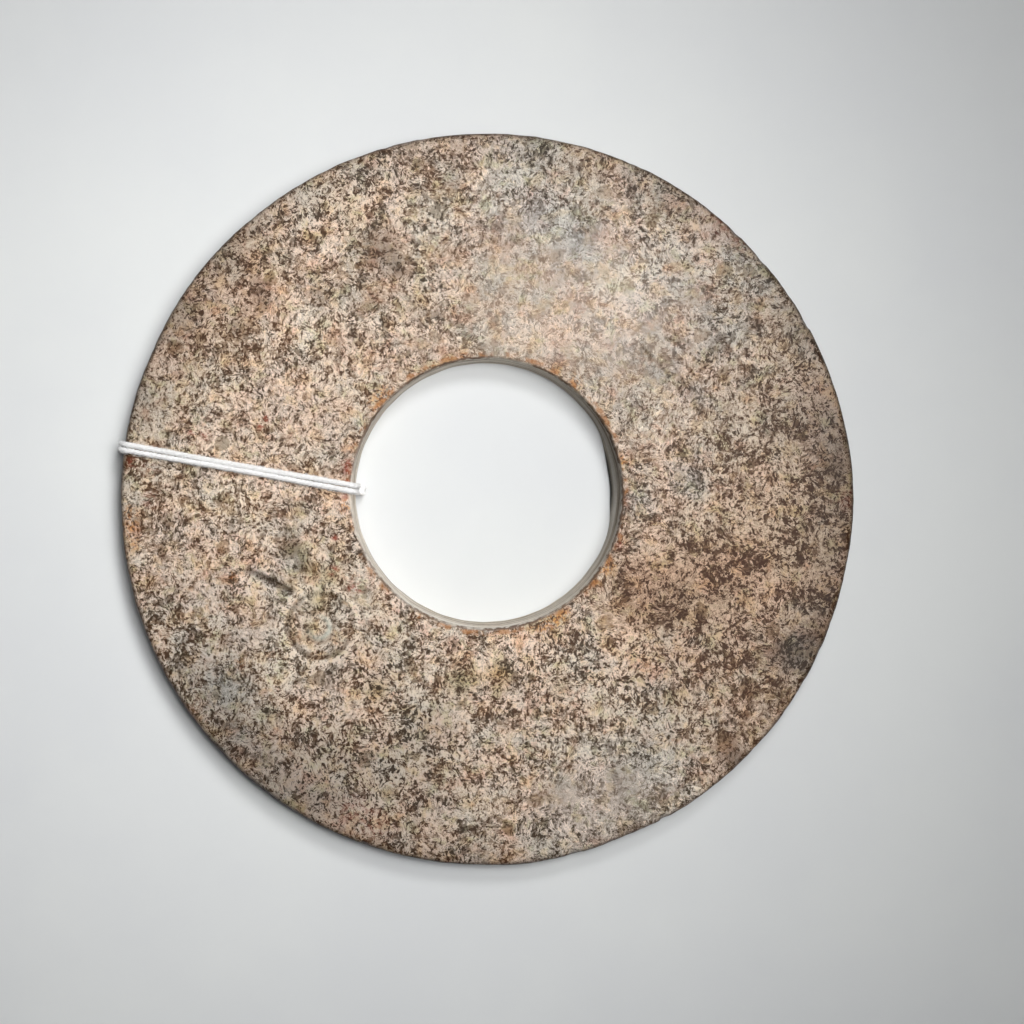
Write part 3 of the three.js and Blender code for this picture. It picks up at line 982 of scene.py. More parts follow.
# %% Dark spots and streaks
DARK_SPOTS = (
    (377, 247, 24, 0.9), (398, 265, 16, 0.7), (372, 300, 15, 0.6), (320, 300, 14, 0.6),
    (262, 300, 18, 0.6), (240, 330, 14, 0.5), (290, 548, 12, 0.9), (302, 565, 10, 0.7),
    (800, 655, 26, 0.8), (775, 650, 20, 0.7), (822, 640, 18, 0.6), (725, 745, 16, 0.9),
    (735, 760, 12, 0.8), (770, 430, 16, 0.5), (830, 470, 18, 0.6), (560, 680, 14, 0.3),
    (226, 640, 8, 0.8), (345, 470, 6, 0.5), (455, 175, 20, 0.4),
)
# From pixel x, y to pixel x, y, then half width in pixels and strength
DARK_STREAKS = (
    (248, 570, 291, 591, 3.2, 1.35), (231, 596, 243, 600, 1.3, 0.9), (244, 655, 238, 671, 1.5, 0.8),
    (641, 345, 670, 376, 1.3, 0.9), (661, 326, 692, 345, 1.3, 0.7), (713, 325, 745, 369, 1.4, 0.9),
    (706, 316, 728, 354, 1.2, 0.6), (632, 335, 644, 323, 1.2, 0.6), (664, 352, 690, 390, 1.2, 0.6),
    (415, 270, 335, 285, 2.0, 0.4), (735, 470, 765, 500, 1.8, 0.6), (790, 430, 830, 470, 1.6, 0.5),
)
dark = spot_values(DARK_SPOTS) + ring_spot_values(DARK_RINGS) + streak_values(DARK_STREAKS)
paint_values("dark", dark)
print("darkest value:", round(max(dark), 2))

# %% Pale spots and streaks
# The three broad pale spots on the upper right of the face lie in the sheen there and are painted sheen; the
# other pale spots are rubbed stone.
PALE_SPOTS = (
    (318, 627, 40, 0.35), (275, 668, 16, 0.7), (600, 320, 70, 0.5), (640, 300, 60, 0.4),
    (500, 330, 50, 0.4), (248, 582, 14, 0.6), (700, 815, 30, 0.3), (590, 765, 12, 0.6),
)
PALE_STREAKS = (
    (241, 577, 276, 594, 2.6, 1.0), (232, 566, 268, 568, 2.6, 0.6), (330, 318, 428, 330, 2.4, 0.9),
    (422, 250, 436, 330, 2.6, 0.7), (751, 418, 751, 432, 2.2, 0.8), (244, 652, 262, 640, 2.0, 0.6),
    (637, 338, 668, 366, 1.8, 0.5), (716, 322, 750, 366, 1.8, 0.5), (566, 790, 610, 812, 2.4, 0.6),
)
pale = spot_values(PALE_SPOTS) + ring_spot_values(PALE_RINGS) + streak_values(PALE_STREAKS)
paint_values("pale", pale)
print("palest value:", round(max(pale), 2))

# %% [markdown]
# ## Broad regions
#
# The stone isn't the same all over. One side is browner, another cooler, and where the face is
# still polished its pattern is faint and it shines more. Broad soft spots lead the material from
# one to the other, so that no border shows.

# %% Brown, cool, polished and strongly patterned regions
BROWN_SPOTS = (
    (800, 560, 110, 0.7), (770, 420, 110, 0.35), (740, 690, 80, 0.3), (645, 597, 50, 0.9),
    (695, 590, 55, 0.7), (735, 560, 50, 0.3), (250, 270, 60, 0.3), (200, 330, 50, 0.3),
)
COOL_SPOTS = (
    (700, 400, 90, 0.8), (640, 300, 90, 0.7), (560, 230, 80, 0.7), (740, 250, 60, 0.8),
    (790, 420, 50, 0.4), (200, 650, 70, 0.8), (250, 740, 60, 0.6), (480, 200, 60, 0.4),
)
POLISH_SPOTS = (
    (590, 310, 80, 1.0), (530, 260, 70, 0.5), (640, 350, 60, 0.8), (610, 230, 50, 0.3),
    (515, 335, 38, 0.6), (432, 340, 34, 0.5), (600, 805, 45, 0.7), (650, 790, 40, 0.6),
    (560, 790, 30, 0.5), (385, 385, 26, 0.4), (340, 420, 26, 0.3), (640, 440, 30, 0.6),
    (505, 322, 42, 0.5), (560, 345, 45, 0.4), (690, 290, 30, 0.6), (486, 290, 55, 0.35),
    (500, 220, 40, 0.35),
)
STRONG_SPOTS = (
    (790, 500, 100, 1.0), (720, 610, 90, 1.0), (800, 650, 60, 0.6), (383, 778, 80, 0.9),
    (300, 740, 60, 0.5), (560, 660, 60, 0.6), (640, 690, 60, 0.6), (210, 290, 70, 0.5),
    (820, 380, 60, 0.8), (300, 210, 60, 0.4), (180, 660, 60, 0.5), (360, 200, 40, 0.3),
    (384, 672, 32, 0.8), (664, 598, 38, 0.8), (420, 737, 45, 0.8), (825, 560, 45, 0.8),
    (315, 785, 45, 0.6), (350, 195, 30, 0.3),
)
paint_values("brown", spot_values(BROWN_SPOTS))
paint_values("cool", spot_values(COOL_SPOTS))
paint_values("polish", spot_values(POLISH_SPOTS))
paint_values("strong", spot_values(STRONG_SPOTS))
print("polished:", round(100 * float(numpy.mean(spot_values(POLISH_SPOTS) > 0.5))), "% of the vertices")

# %% Darker and lighter regions, partly painted shade and painted sheen
# Partly painted light: beside the stone's own darker and lighter patches, the darker spots, most of them
# towards the right and the lower left, are painted shade where the light falls off, and the lighter spots
# round the sheen on the upper right are painted sheen.
# Where the strength is below 0 the stone is lighter
SHADE_SPOTS = (
    (383, 778, 62, 0.75), (330, 752, 50, 0.5), (440, 800, 45, 0.4), (440, 720, 40, 0.3),
    (235, 275, 40, 0.4), (190, 330, 35, 0.3), (825, 440, 45, 0.45), (830, 520, 40, 0.3),
    (800, 330, 45, 0.35), (640, 610, 40, 0.35), (690, 600, 40, 0.3), (657, 427, 45, -0.3),
    (226, 699, 45, 0.7), (283, 756, 45, 0.3), (185, 605, 40, 0.35), (835, 470, 50, 0.4),
    (770, 640, 55, 0.25), (250, 640, 50, 0.2), (205, 660, 40, 0.3),
    (560, 300, 70, -0.3), (530, 225, 60, -0.3), (610, 805, 50, -0.5), (680, 795, 45, -0.5),
    (450, 650, 40, -0.2), (400, 410, 40, -0.15), (500, 650, 40, -0.3), (430, 165, 30, -0.3),
    (283, 762, 42, 0.5), (318, 790, 36, 0.75), (245, 735, 36, 0.6), (803, 406, 38, 0.55),
    (815, 570, 50, 0.3), (815, 620, 40, 0.25), (423, 730, 36, 0.4), (335, 660, 36, 0.3),
    (384, 672, 32, 0.35), (634, 630, 30, -0.5), (672, 680, 40, 0.4), (733, 640, 36, 0.2),
    (305, 318, 42, -0.35), (372, 377, 26, -0.3), (241, 493, 30, -0.4), (157, 405, 34, 0.4),
    (274, 371, 26, -0.25), (180, 318, 30, 0.25), (629, 247, 38, -0.3), (486, 176, 32, -0.4),
    (529, 334, 24, -0.3), (645, 440, 24, -0.3), (574, 822, 32, -0.35), (657, 789, 28, -0.3),
    (344, 247, 28, -0.2), (486, 834, 28, 0.25), (190, 668, 28, 0.35),
)
face_shade = spot_values(SHADE_SPOTS)
print("shade from", round(min(face_shade), 2), "to", round(max(face_shade), 2))

# %% [markdown]
# ## Dirt at the edges, and painted shade in the bore
#
# Hands and earth darken a stone most at its rim, and more on some stretches than on others. The
# bore's wall is painted darker at the right, as painted shade where it faces away from the
# light, and darkest at its foot there, as painted shadow. Its edge is cleanest at the left, by
# the string.

# %% Dirt near the rim, and painted shade and shadow in the bore
# Azimuth, spread in degrees and strength of the stretches where dirt darkens the face near the rim
RIM_DIRT = (
    (30, 50, 0.8), (90, 40, 0.35), (145, 22, 0.9), (240, 24, 0.9), (262, 16, 0.4), (345, 22, 0.5),
)
RIM_DIRT_WIDTH = 8.0
RIM_DIRT_ALL_ROUND = 0.2
RIM_DIRT_SHADE = 0.75
RIM_EDGE_START = 1.5
RIM_EDGE_FULL = 0.2
# painted shade: the bore's wall is darkened at the right, where it faces away from the softboxes
BORE_DARK_AZIMUTH = 20
BORE_DARK_SPREAD = 45
BORE_DARK = 1.3
FOOT_RIDGE_PAINTED_SHADOW = 2.25
BORE_CLEAN_AZIMUTH = 185
BORE_CLEAN_SPREAD = 22
BORE_CLEAN = 0.9
EDGE_DIRT_DEPTH = 2


def fading(middle, azimuth, spread):
    """1 at the middle azimuth, falling softly to 0 on both sides."""
    from_middle = azimuth_between(middle, azimuth) / spread
    return math.exp(-from_middle * from_middle)


rim_edge = []
edge_dirt = []
rim_dirt = []
bore_shade = []
for x, y, z in vertex_places:
    azimuth = round(math.degrees(math.atan2(y, x)), 2)
    from_rim = rim_at(azimuth) - math.hypot(x, y)
    around = RIM_DIRT_ALL_ROUND
    for middle, spread, strength in RIM_DIRT:
        around += strength * fading(middle, azimuth, spread)
    rim_dirt.append(min(around, 1.0) * math.exp(-((from_rim / RIM_DIRT_WIDTH) ** 2)))
    rim_edge.append(smooth_step(RIM_EDGE_START, RIM_EDGE_FULL, from_rim))
    # painted shadow: the foot ridge is darkened as the deep shadow at the foot of the bore's right wall
    ridge_painted_shadow = FOOT_RIDGE_PAINTED_SHADOW * foot_ridge(azimuth, z)
    # the wall takes the darker of its painted shade and the foot ridge's painted shadow
    bore_shade.append(max(ridge_painted_shadow, BORE_DARK * fading(BORE_DARK_AZIMUTH, azimuth, BORE_DARK_SPREAD)))
    dirt = 1 - BORE_CLEAN * fading(BORE_CLEAN_AZIMUTH, azimuth, BORE_CLEAN_SPREAD)
    edge_dirt.append(dirt if z > BORE_SIDE_THICKNESS - EDGE_DIRT_DEPTH else 0.0)

wall_shares = numpy.array(walls)
face_shade = face_shade + RIM_DIRT_SHADE * numpy.array(rim_dirt)
paint_values("rim_edge", rim_edge)
paint_values("edge_dirt", edge_dirt)
paint_values("shade", face_shade * (1 - wall_shares) + numpy.array(bore_shade) * wall_shares)
print("painted", len(disc_mesh.attributes), "values on the ring")

# %% [markdown]
# ## The stone's finish
#
# Buried jade turns opaque and cream along its felted fibres, while the sound stone between them
# stays dark: a cream net round brown and olive flecks. Fibres lie in small bundles that point
# every way. So the pattern is a stretched noise, turned by a random angle in each cell of a
# Voronoi texture: one cell is one bundle. Two sizes of bundle are laid over each other.
#
# All patterns are first added up to one number, the tone, and a colour ramp turns the tone into
# a colour. That keeps the flecks crisp and lets one table of tones say how the stone looks.

# %% Tones and colours of the stone
# Share of the stone that is darker than each tone, in hundredths, and the tone measured there
TONE_PLACES = ((1, 0.509), (10, 0.728), (34, 0.962), (50, 1.076), (66, 1.145), (90, 1.216), (99, 1.290))
TONE_MIDDLE = 1.10
STONE_LIGHTNESS = 0.323
RAMP_MARGIN = 0.03
# Relative red, green and blue light at the same shares, for warm and for cool patches of stone
WARM_STONE = (
    (0.24, 0.103, 0.042),
    (0.58, 0.340, 0.195),
    (1.05, 0.710, 0.485),
    (1.28, 0.910, 0.665),
    (1.51, 1.11, 0.825),
    (1.99, 1.53, 1.160),
    (2.63, 2.12, 1.670),
)
COOL_STONE = (
    (0.175, 0.113, 0.066),
    (0.495, 0.360, 0.255),
    (0.895, 0.720, 0.575),
    (1.115, 0.925, 0.760),
    (1.35, 1.13, 0.940),
    (1.84, 1.55, 1.290),
    (2.53, 2.14, 1.800),
)


def tone_ramp(tree, tone, colours):
    """Turns the tone into colour, with a colour for each place in TONE_PLACES."""
    low = TONE_PLACES[0][1]
    high = TONE_PLACES[-1][1]
    margin = RAMP_MARGIN * (high - low)
    node = add_node(tree, "ShaderNodeMapRange")
    feed(tree, node.inputs["Value"], tone)
    feed(tree, node.inputs["From Min"], low - margin)
    feed(tree, node.inputs["From Max"], high + margin)
    span = high - low + 2 * margin
    stops = []
    for (_, place), colour in zip(TONE_PLACES, colours):
        light = [part * STONE_LIGHTNESS for part in colour]
        stops.append(((place - low + margin) / span, (*light, 1.0)))
    return colour_ramp(tree, node.outputs["Result"], stops)


print(len(TONE_PLACES), "tones, from", TONE_PLACES[0][1], "to", TONE_PLACES[-1][1])

# %% Crooked places, bundles and felt
def wander(tree, place, size, amount, detail=2.0):
    """The place pushed about by noise, so that straight edges turn crooked."""
    _, sway = noise_at(tree, place, size, detail)
    sway = vector_calculate(tree, "SUBTRACT", sway, (0.5, 0.5, 0.5))
    sway = vector_calculate(tree, "SCALE", sway, scale=amount)
    return vector_calculate(tree, "ADD", place, sway)


def turned_by_bundle(tree, place, bundle, length, width):
    """The place turned another way in each bundle and squeezed along the bundle's fibres."""
    cells = cells_at(tree, place, bundle)
    turn = vector_calculate(tree, "SCALE", cells.outputs["Color"], scale=math.tau)
    node = add_node(tree, "ShaderNodeVectorRotate", rotation_type="EULER_XYZ")
    feed(tree, node.inputs["Vector"], place)
    feed(tree, node.inputs["Rotation"], turn)
    return vector_calculate(tree, "MULTIPLY", node.outputs["Vector"], (width / length, 1.0, 1.0))


def felt(tree, place, bundle, length, width, edge):
    """Fibres as stretched noise, and the thin lines along their edges."""
    value, _ = noise_at(tree, turned_by_bundle(tree, place, bundle, length, width), width, 1.0)
    ridge = calculate(tree, "ABSOLUTE", calculate(tree, "SUBTRACT", value, 0.5))
    return value, step_between(tree, ridge, 0.0, edge, 1.0, 0.0)


# %% The net of fibres
# How much of each pattern goes into the tone
CLUMP_NET_SHARE = 0.22
CLUMP_SHARE = 0.5
FINE_NET_SHARE = 0.32
FINE_SHARE = 0.40
BROAD_SHARE = 0.24
FINE_EDGE_SHARE = 0.15
LONG_EDGE_SHARE = 0.12


def net_of_fibres(tree, place, bent):
    """The tone of clumps and fibres, and the noises that later steps use again."""
    broad, broad_colour = noise_at(tree, place, 7.0, 5.0, 0.66)
    crowd, warmth, calm = three_parts(tree, broad_colour)
    # more clumps of dark sound stone where `crowd` is low
    lean = calculate(tree, "MULTIPLY_ADD", crowd, 0.5, -0.25)
    clumps, _ = noise_at(tree, turned_by_bundle(tree, bent, 6.0, 2.0, 1.0), 1.7, 3.0, 0.8, 0.3)
    clump_net = step_between(tree, calculate(tree, "ADD", clumps, lean), 0.44, 0.48)
    fine, fine_edges = felt(tree, bent, bundle=3.2, length=1.7, width=0.66, edge=0.05)
    fine_lean = add_share(tree, calculate(tree, "ADD", lean, -0.25), clumps, 0.5)
    fine_net = step_between(tree, calculate(tree, "ADD", fine, fine_lean), 0.40, 0.44)
    _, long_edges = felt(tree, bent, bundle=6.0, length=6.0, width=1.1, edge=0.04)
    tone = calculate(tree, "MULTIPLY", clump_net, CLUMP_NET_SHARE)
    tone = add_share(tree, tone, clumps, CLUMP_SHARE)
    tone = add_share(tree, tone, fine_net, FINE_NET_SHARE)
    tone = add_share(tree, tone, fine, FINE_SHARE)
    tone = add_share(tree, tone, broad, BROAD_SHARE)
    tone = add_share(tree, tone, fine_edges, FINE_EDGE_SHARE)
    tone = add_share(tree, tone, long_edges, LONG_EDGE_SHARE)
    return tone, fine, warmth, calm


# %% [markdown]
# ## Smooth grains
#
# Here and there a rounded grain of grey-green stone has no fibres in it, only a faint pale
# outline. A Voronoi texture gives every cell a random colour, so one of its parts picks the few
# cells that are grains, and the others give each grain its own tone and hue.

# %% Smooth grains of grey-green stone
GRAIN_SIZE = 6.5
GRAIN_HOLD = 0.3
GRAIN_OUTLINE = 0.05


def add_grains(tree, tone, bent, fine):
    """The tone with the grains in it, where the grains are, and the hue of each."""
    grains = cells_at(tree, wander(tree, bent, 2.2, 2.6), GRAIN_SIZE)
    grain_pick, grain_tone, grain_hue = three_parts(tree, grains.outputs["Color"])
    is_grain = step_between(tree, grain_pick, 0.87, 0.89)
    core = step_between(tree, grains.outputs["Distance"], 0.40, 0.33)
    whole = step_between(tree, grains.outputs["Distance"], 0.52, 0.42)
    outline = calculate(tree, "SUBTRACT", whole, core)
    grain = calculate(tree, "MULTIPLY", is_grain, core)
    flat_tone = calculate(tree, "MULTIPLY_ADD", grain_tone, 0.26, 0.52)
    flat_tone = add_share(tree, flat_tone, fine, 0.6)
    hold = calculate(tree, "MULTIPLY", grain, GRAIN_HOLD)
    tone = calculate(tree, "MULTIPLY", tone, calculate(tree, "SUBTRACT", 1.0, hold))
    tone = add_share(tree, tone, flat_tone, hold)
    tone = add_share(tree, tone, calculate(tree, "MULTIPLY", is_grain, outline), GRAIN_OUTLINE)
    return tone, grain, grain_hue


# %% [markdown]
# ## Painted patches in the tone
#
# The painted values now change the tone. Where the face is polished the pattern is pulled
# towards the middle tone, which makes it calm, and in the strong regions it is pushed apart.
# Dark, pale and brown patches simply move the tone down or up, so that their edges follow the
# flecks as a real stain does.

# %% Patches in the tone
CONTRAST = 1.16
POLISH_CALM = -0.67
STRONG_CONTRAST = 0.7
CALM_CONTRAST = -0.35
DARK_TONE = -0.30
PALE_TONE = 0.12
BROWN_TONE = -0.10


def add_patches(tree, tone, calm):
    """The tone where the face is polished, stained or rubbed."""
    contrast = calculate(tree, "MULTIPLY_ADD", read_attribute(tree, "polish"), POLISH_CALM, CONTRAST)
    contrast = add_share(tree, contrast, read_attribute(tree, "strong"), STRONG_CONTRAST)
    contrast = add_share(tree, contrast, step_between(tree, calm, 0.5, 0.62), CALM_CONTRAST)
    tone = calculate(tree, "MULTIPLY", calculate(tree, "SUBTRACT", tone, TONE_MIDDLE), contrast)
    tone = calculate(tree, "ADD", tone, TONE_MIDDLE)
    tone = add_share(tree, tone, read_attribute(tree, "dark"), DARK_TONE)
    tone = add_share(tree, tone, read_attribute(tree, "pale"), PALE_TONE)
    return add_share(tree, tone, read_attribute(tree, "brown"), BROWN_TONE)


# %% [markdown]
# ## Colour of the stone
#
# Two ramps, one warm and one cool, share the same tones, and a broad noise leads from one to
# the other. Over them lie thin tints: yellow, rusty and olive patches of a few millimetres, and
# wider ones that are hardly seen. A tint is multiplied in, because a stain takes light away.

# %% Colour of the stone
YELLOW_TINT = from_screen(252, 238, 205)
RUSTY_TINT = from_screen(242, 216, 204)
OLIVE_TINT = from_screen(228, 236, 208)
OLIVE_PATCH = from_screen(206, 196, 150)
BROWN_PATCH = from_screen(234, 220, 208)
GREY_PATCH = from_screen(216, 228, 238)
COOL_PATCH = (0.95, 1.0, 1.06, 1.0)
WIDE_COOL_TINT = (0.965, 1.006, 1.0, 1.0)
WIDE_WARM_TINT = (1.035, 0.99, 0.97, 1.0)
GREEN_GRAIN = from_screen(236, 240, 214)
RED_GRAIN = from_screen(240, 224, 214)


def tint_by_noise(tree, base, value, low, high, most, colour):
    """A tint in the patches where a noise is high."""
    return tint(tree, base, step_between(tree, value, low, high, 0.0, most), colour)


def tint_by_patch(tree, base, name, most, colour):
    """A tint where a value is painted on the mesh."""
    return tint(tree, base, calculate(tree, "MULTIPLY", read_attribute(tree, name), most), colour)


def stone_colour(tree, tone, warmth, place, hues, grain, grain_hue):
    """Colour from the tone, with tints by noise and by patch."""
    yellow, rusty, olive = hues
    warmth = add_share(tree, warmth, read_attribute(tree, "brown"), 0.3)
    warmth = add_share(tree, warmth, read_attribute(tree, "grey"), -0.5)
    cool = tone_ramp(tree, tone, COOL_STONE)
    warm = tone_ramp(tree, tone, WARM_STONE)
    base = mix_colours(tree, step_between(tree, warmth, 0.34, 0.66), cool, warm)
    base = tint_by_noise(tree, base, yellow, 0.50, 0.64, 0.5, YELLOW_TINT)
    base = tint_by_noise(tree, base, rusty, 0.54, 0.70, 0.6, RUSTY_TINT)
    wide_hue, _ = noise_at(tree, place, 15.0, 3.0, 0.6)
    wide_share = step_between(tree, wide_hue, 0.36, 0.64)
    base = tint(tree, base, 1.0, mix_colours(tree, wide_share, WIDE_COOL_TINT, WIDE_WARM_TINT))
    base = tint_by_noise(tree, base, olive, 0.54, 0.68, 0.6, OLIVE_TINT)
    base = tint_by_patch(tree, base, "olive", 0.85, OLIVE_PATCH)
    base = tint_by_patch(tree, base, "brown", 0.9, BROWN_PATCH)
    base = tint(tree, base, read_attribute(tree, "cool"), COOL_PATCH)
    grain_tint = mix_colours(tree, grain_hue, GREEN_GRAIN, RED_GRAIN)
    base = tint(tree, base, calculate(tree, "MULTIPLY", grain, 0.55), grain_tint)
    return tint_by_patch(tree, base, "grey", 0.8, GREY_PATCH)


# %% [markdown]
# ## Rust, iron-red stains and the dark rim
#
# These stains lie on the stone rather than in it, so they cover its colour. A painted spot
# alone would look like a soft dab of a brush. Multiplied by a crisp step of fine noise, it
# breaks up into grains and crumbs.

# %% Stains that cover the stone
DARK_RUST = from_screen(88, 58, 36)
RUST = from_screen(164, 96, 38)
PALE_RUST = from_screen(216, 158, 84)
IRON_RED = from_screen(150, 58, 38)
STUB_GREY = from_screen(204, 206, 192)
RIM_BROWN = from_screen(66, 46, 32)


def cover(tree, base, name, broken, most, colour):
    """A stain painted on the mesh, broken up by noise."""
    stain = calculate(tree, "MULTIPLY", read_attribute(tree, name), broken)
    return mix_colours(tree, calculate(tree, "MULTIPLY", stain, most), base, colour)


def add_stains(tree, base, fine, breakup):
    """Rust, red, the pale stub and the dark rim over the stone."""
    rust_colour = colour_ramp(tree, fine, ((0.38, DARK_RUST), (0.5, RUST), (0.62, PALE_RUST)))
    base = cover(tree, base, "rust", step_between(tree, breakup, 0.35, 0.6), 0.85, rust_colour)
    base = cover(tree, base, "red", step_between(tree, breakup, 0.4, 0.6), 0.75, IRON_RED)
    stub = calculate(tree, "MULTIPLY", read_attribute(tree, "stub"), 0.8)
    base = mix_colours(tree, stub, base, STUB_GREY)
    rim_grime = step_between(tree, breakup, 0.3, 0.6, 0.5, 0.95)
    rim = calculate(tree, "MULTIPLY", read_attribute(tree, "rim_edge"), rim_grime)
    return mix_colours(tree, rim, base, RIM_BROWN)


# %% [markdown]
# ## The bore's wall and its edge
#
# The drill left a thin grey skin on the wall, with fine lines round it. A noise that is squeezed
# flat gives such lines: it changes fast along the height and slowly round the ring. Dirt sits
# along the wall's upper edge, in a line too thin for the mesh to carry, so it is worked out in
# the material from the distance to the bore's middle.

# %% The bore's wall
LINE_DARK = from_screen(142, 128, 110)
LINE_MIDDLE = from_screen(220, 211, 197)
LINE_PALE = from_screen(250, 245, 235)


def add_bore_wall(tree, base, place, wall):
    """The grey skin and its lines, only where the wall is."""
    squeezed = vector_calculate(tree, "MULTIPLY", place, (0.03, 0.03, 1.0))
    lines, _ = noise_at(tree, squeezed, 1.6, 3.0, 0.7)
    line_colour = colour_ramp(tree, lines, ((0.36, LINE_DARK), (0.5, LINE_MIDDLE), (0.64, LINE_PALE)))
    return mix_colours(tree, calculate(tree, "MULTIPLY", wall, 0.85), base, line_colour)


# %% Dirt and rust along the bore's upper edge
EDGE_WANDER = 1.2
EDGE_LINE_PLACE = 0.3
RUST_FRINGE_PLACE = 1.2
EDGE_BROWN = from_screen(96, 70, 52)
FRINGE_RUST = from_screen(168, 112, 66)


def distance_from_bore_edge(tree, place, breakup):
    """Distance in mm outwards from the bore's edge, made uneven by noise."""
    from_centre = vector_calculate(tree, "SUBTRACT", place, (*BORE_TOP_CENTRE, 0.0))
    from_centre = vector_calculate(tree, "MULTIPLY", from_centre, (1.0, 1.0, 0.0))
    distance = calculate(tree, "ADD", vector_length(tree, from_centre), -BORE_TOP_RADIUS)
    return add_share(tree, calculate(tree, "ADD", distance, -EDGE_WANDER / 2), breakup, EDGE_WANDER)


def band(tree, distance, middle, core, reach, most):
    """A soft line at a distance: full within its core, gone at its reach."""
    away = calculate(tree, "ABSOLUTE", calculate(tree, "ADD", distance, -middle))
    return step_between(tree, away, core, reach, most, 0.0)


def add_edge_dirt(tree, base, place, breakup, hues):
    """A dark line and a rusty fringe along the bore's edge."""
    yellow, rusty, _ = hues
    distance = distance_from_bore_edge(tree, place, breakup)
    line = band(tree, distance, EDGE_LINE_PLACE, 0.15, 0.5, 0.9)
    line = calculate(tree, "MULTIPLY", line, step_between(tree, rusty, 0.4, 0.54, 0.35, 1.0))
    fringe = band(tree, distance, RUST_FRINGE_PLACE, 0.3, 1.0, 0.7)
    fringe = calculate(tree, "MULTIPLY", fringe, step_between(tree, yellow, 0.46, 0.6))
    dirt = read_attribute(tree, "edge_dirt")
    base = mix_colours(tree, calculate(tree, "MULTIPLY", fringe, dirt), base, FRINGE_RUST)
    return mix_colours(tree, calculate(tree, "MULTIPLY", line, dirt), base, EDGE_BROWN)


# %% [markdown]
# ## The whole stone
#
# The steps are laid over each other from the inside of the stone to its surface: the fibres,
# the grains, the weathered patches, the stains, and the dirt of the edges last. The polished
# patches are smoother, so they shine more, and the bore's wall is left rough by the drill. A
# weak bump from the fine fibres breaks up the sheen.

# %% Put the stone together
SHADE_DARKENS = -0.42
FACE_ROUGH = 0.5
POLISH_ROUGH = 0.34
WALL_ROUGHER = 0.5
STONE_SPECULAR = 0.2
STONE_BUMP_STRENGTH = 0.5
STONE_BUMP_DEPTH = 0.2


def make_stone():
    """The whole finish of the ring, as one material."""
    material = bpy.data.materials.new("weathered_jade")
    material.use_nodes = True
    tree = material.node_tree
    shader = tree.nodes["Principled BSDF"]
    coordinates = add_node(tree, "ShaderNodeTexCoord").outputs["Object"]
    place = vector_calculate(tree, "SCALE", coordinates, scale=1 / MM)
    bent = wander(tree, wander(tree, place, 6.0, 3.0, 3.0), 0.9, 0.55)
    breakup, _ = noise_at(tree, bent, 1.4, 3.0)
    _, hue_noise = noise_at(tree, bent, 5.0, 3.0, 0.6)
    hues = three_parts(tree, hue_noise)

    tone, fine, warmth, calm = net_of_fibres(tree, place, bent)
    tone, grain, grain_hue = add_grains(tree, tone, bent, fine)
    tone = add_patches(tree, tone, calm)
    base = stone_colour(tree, tone, warmth, place, hues, grain, grain_hue)
    base = add_stains(tree, base, fine, breakup)
    wall = read_attribute(tree, "bore_wall")
    base = add_bore_wall(tree, base, place, wall)
    base = add_edge_dirt(tree, base, place, breakup, hues)
    # the painted shade and sheen, the dirt near the rim and the bore's painted shade and shadow scale the
    # colour here
    shade = calculate(tree, "MULTIPLY_ADD", read_attribute(tree, "shade"), SHADE_DARKENS, 1.0)
    feed(tree, shader.inputs["Base Color"], vector_calculate(tree, "SCALE", base, scale=shade))

    polish = read_attribute(tree, "polish")
    roughness = step_between(tree, polish, 0.0, 1.0, FACE_ROUGH, POLISH_ROUGH)
    roughness = calculate(tree, "MULTIPLY_ADD", wall, WALL_ROUGHER, roughness)
    feed(tree, shader.inputs["Roughness"], roughness)
    shader.inputs["Specular IOR Level"].default_value = STONE_SPECULAR
    bump = add_node(tree, "ShaderNodeBump")
    feed(tree, bump.inputs["Height"], fine)
    bump.inputs["Strength"].default_value = STONE_BUMP_STRENGTH
    bump.inputs["Distance"].default_value = STONE_BUMP_DEPTH * MM
    feed(tree, shader.inputs["Normal"], bump.outputs["Normal"])
    return material


stone = make_stone()
disc_mesh.materials.append(stone)
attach(jade_ring, "root")
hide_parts("bi_disc")
print("the stone is made of", len(stone.node_tree.nodes), "nodes")

# %% [markdown]
# ## The string's route
#
# A thin cotton string is wound twice round the ring, through the bore, and knotted at the foot
# of the bore's wall. Its route is worked out from the ring's own sizes, seen from the side: a
# bend over the bore's edge, along the face, down round the rim, back under the ring and up the
# bore. The two turns lie side by side, a little apart at the ends and pressed together in the
# middle.

# %% Sizes of the string
STRING_RADIUS = 0.725
STRING_STAND = 0.86
STRING_LOW_BEND = 1.225
POINT_SPACING = 0.35
FACE_STEPS = 24
BEND_STEPS = 8


def lerp(start, end, share):
    """The value at a share of the way from start to end."""
    return start + (end - start) * share


def bend(distance, height, radius, start_angle, steps=BEND_STEPS):
    """A quarter turn as points (distance, height), clockwise from the start angle."""
    points = []
    for step in range(steps + 1):
        angle = math.radians(start_angle - 90 * step / steps)
        points.append(Vector((distance + radius * math.cos(angle), height + radius * math.sin(angle))))
    return points


def plan_along_string(distance):
    """The place seen from above, at a distance from the bore's edge along the string."""
    return string_at_bore + string_along * distance


def face_height_at(plan):
    """Height of the ring's face at a place seen from above."""
    azimuth = math.degrees(math.atan2(plan.y, plan.x))
    inner = bore_at(azimuth, 1.0)
    outer = rim_at(azimuth) - RIM_ROUND
    across = (plan.length - inner) / (outer - inner)
    return face_height(azimuth, min(max(across, 0.0), 1.0))


print("the string lies", round(face_height_at(plan_along_string(30)), 2), "mm above the table at its middle")

# %% One turn, seen from the side
BORE_FOOT = bore_at(STRING_BORE_AZIMUTH, 0.0) - bore_at(STRING_BORE_AZIMUTH, 1.0)


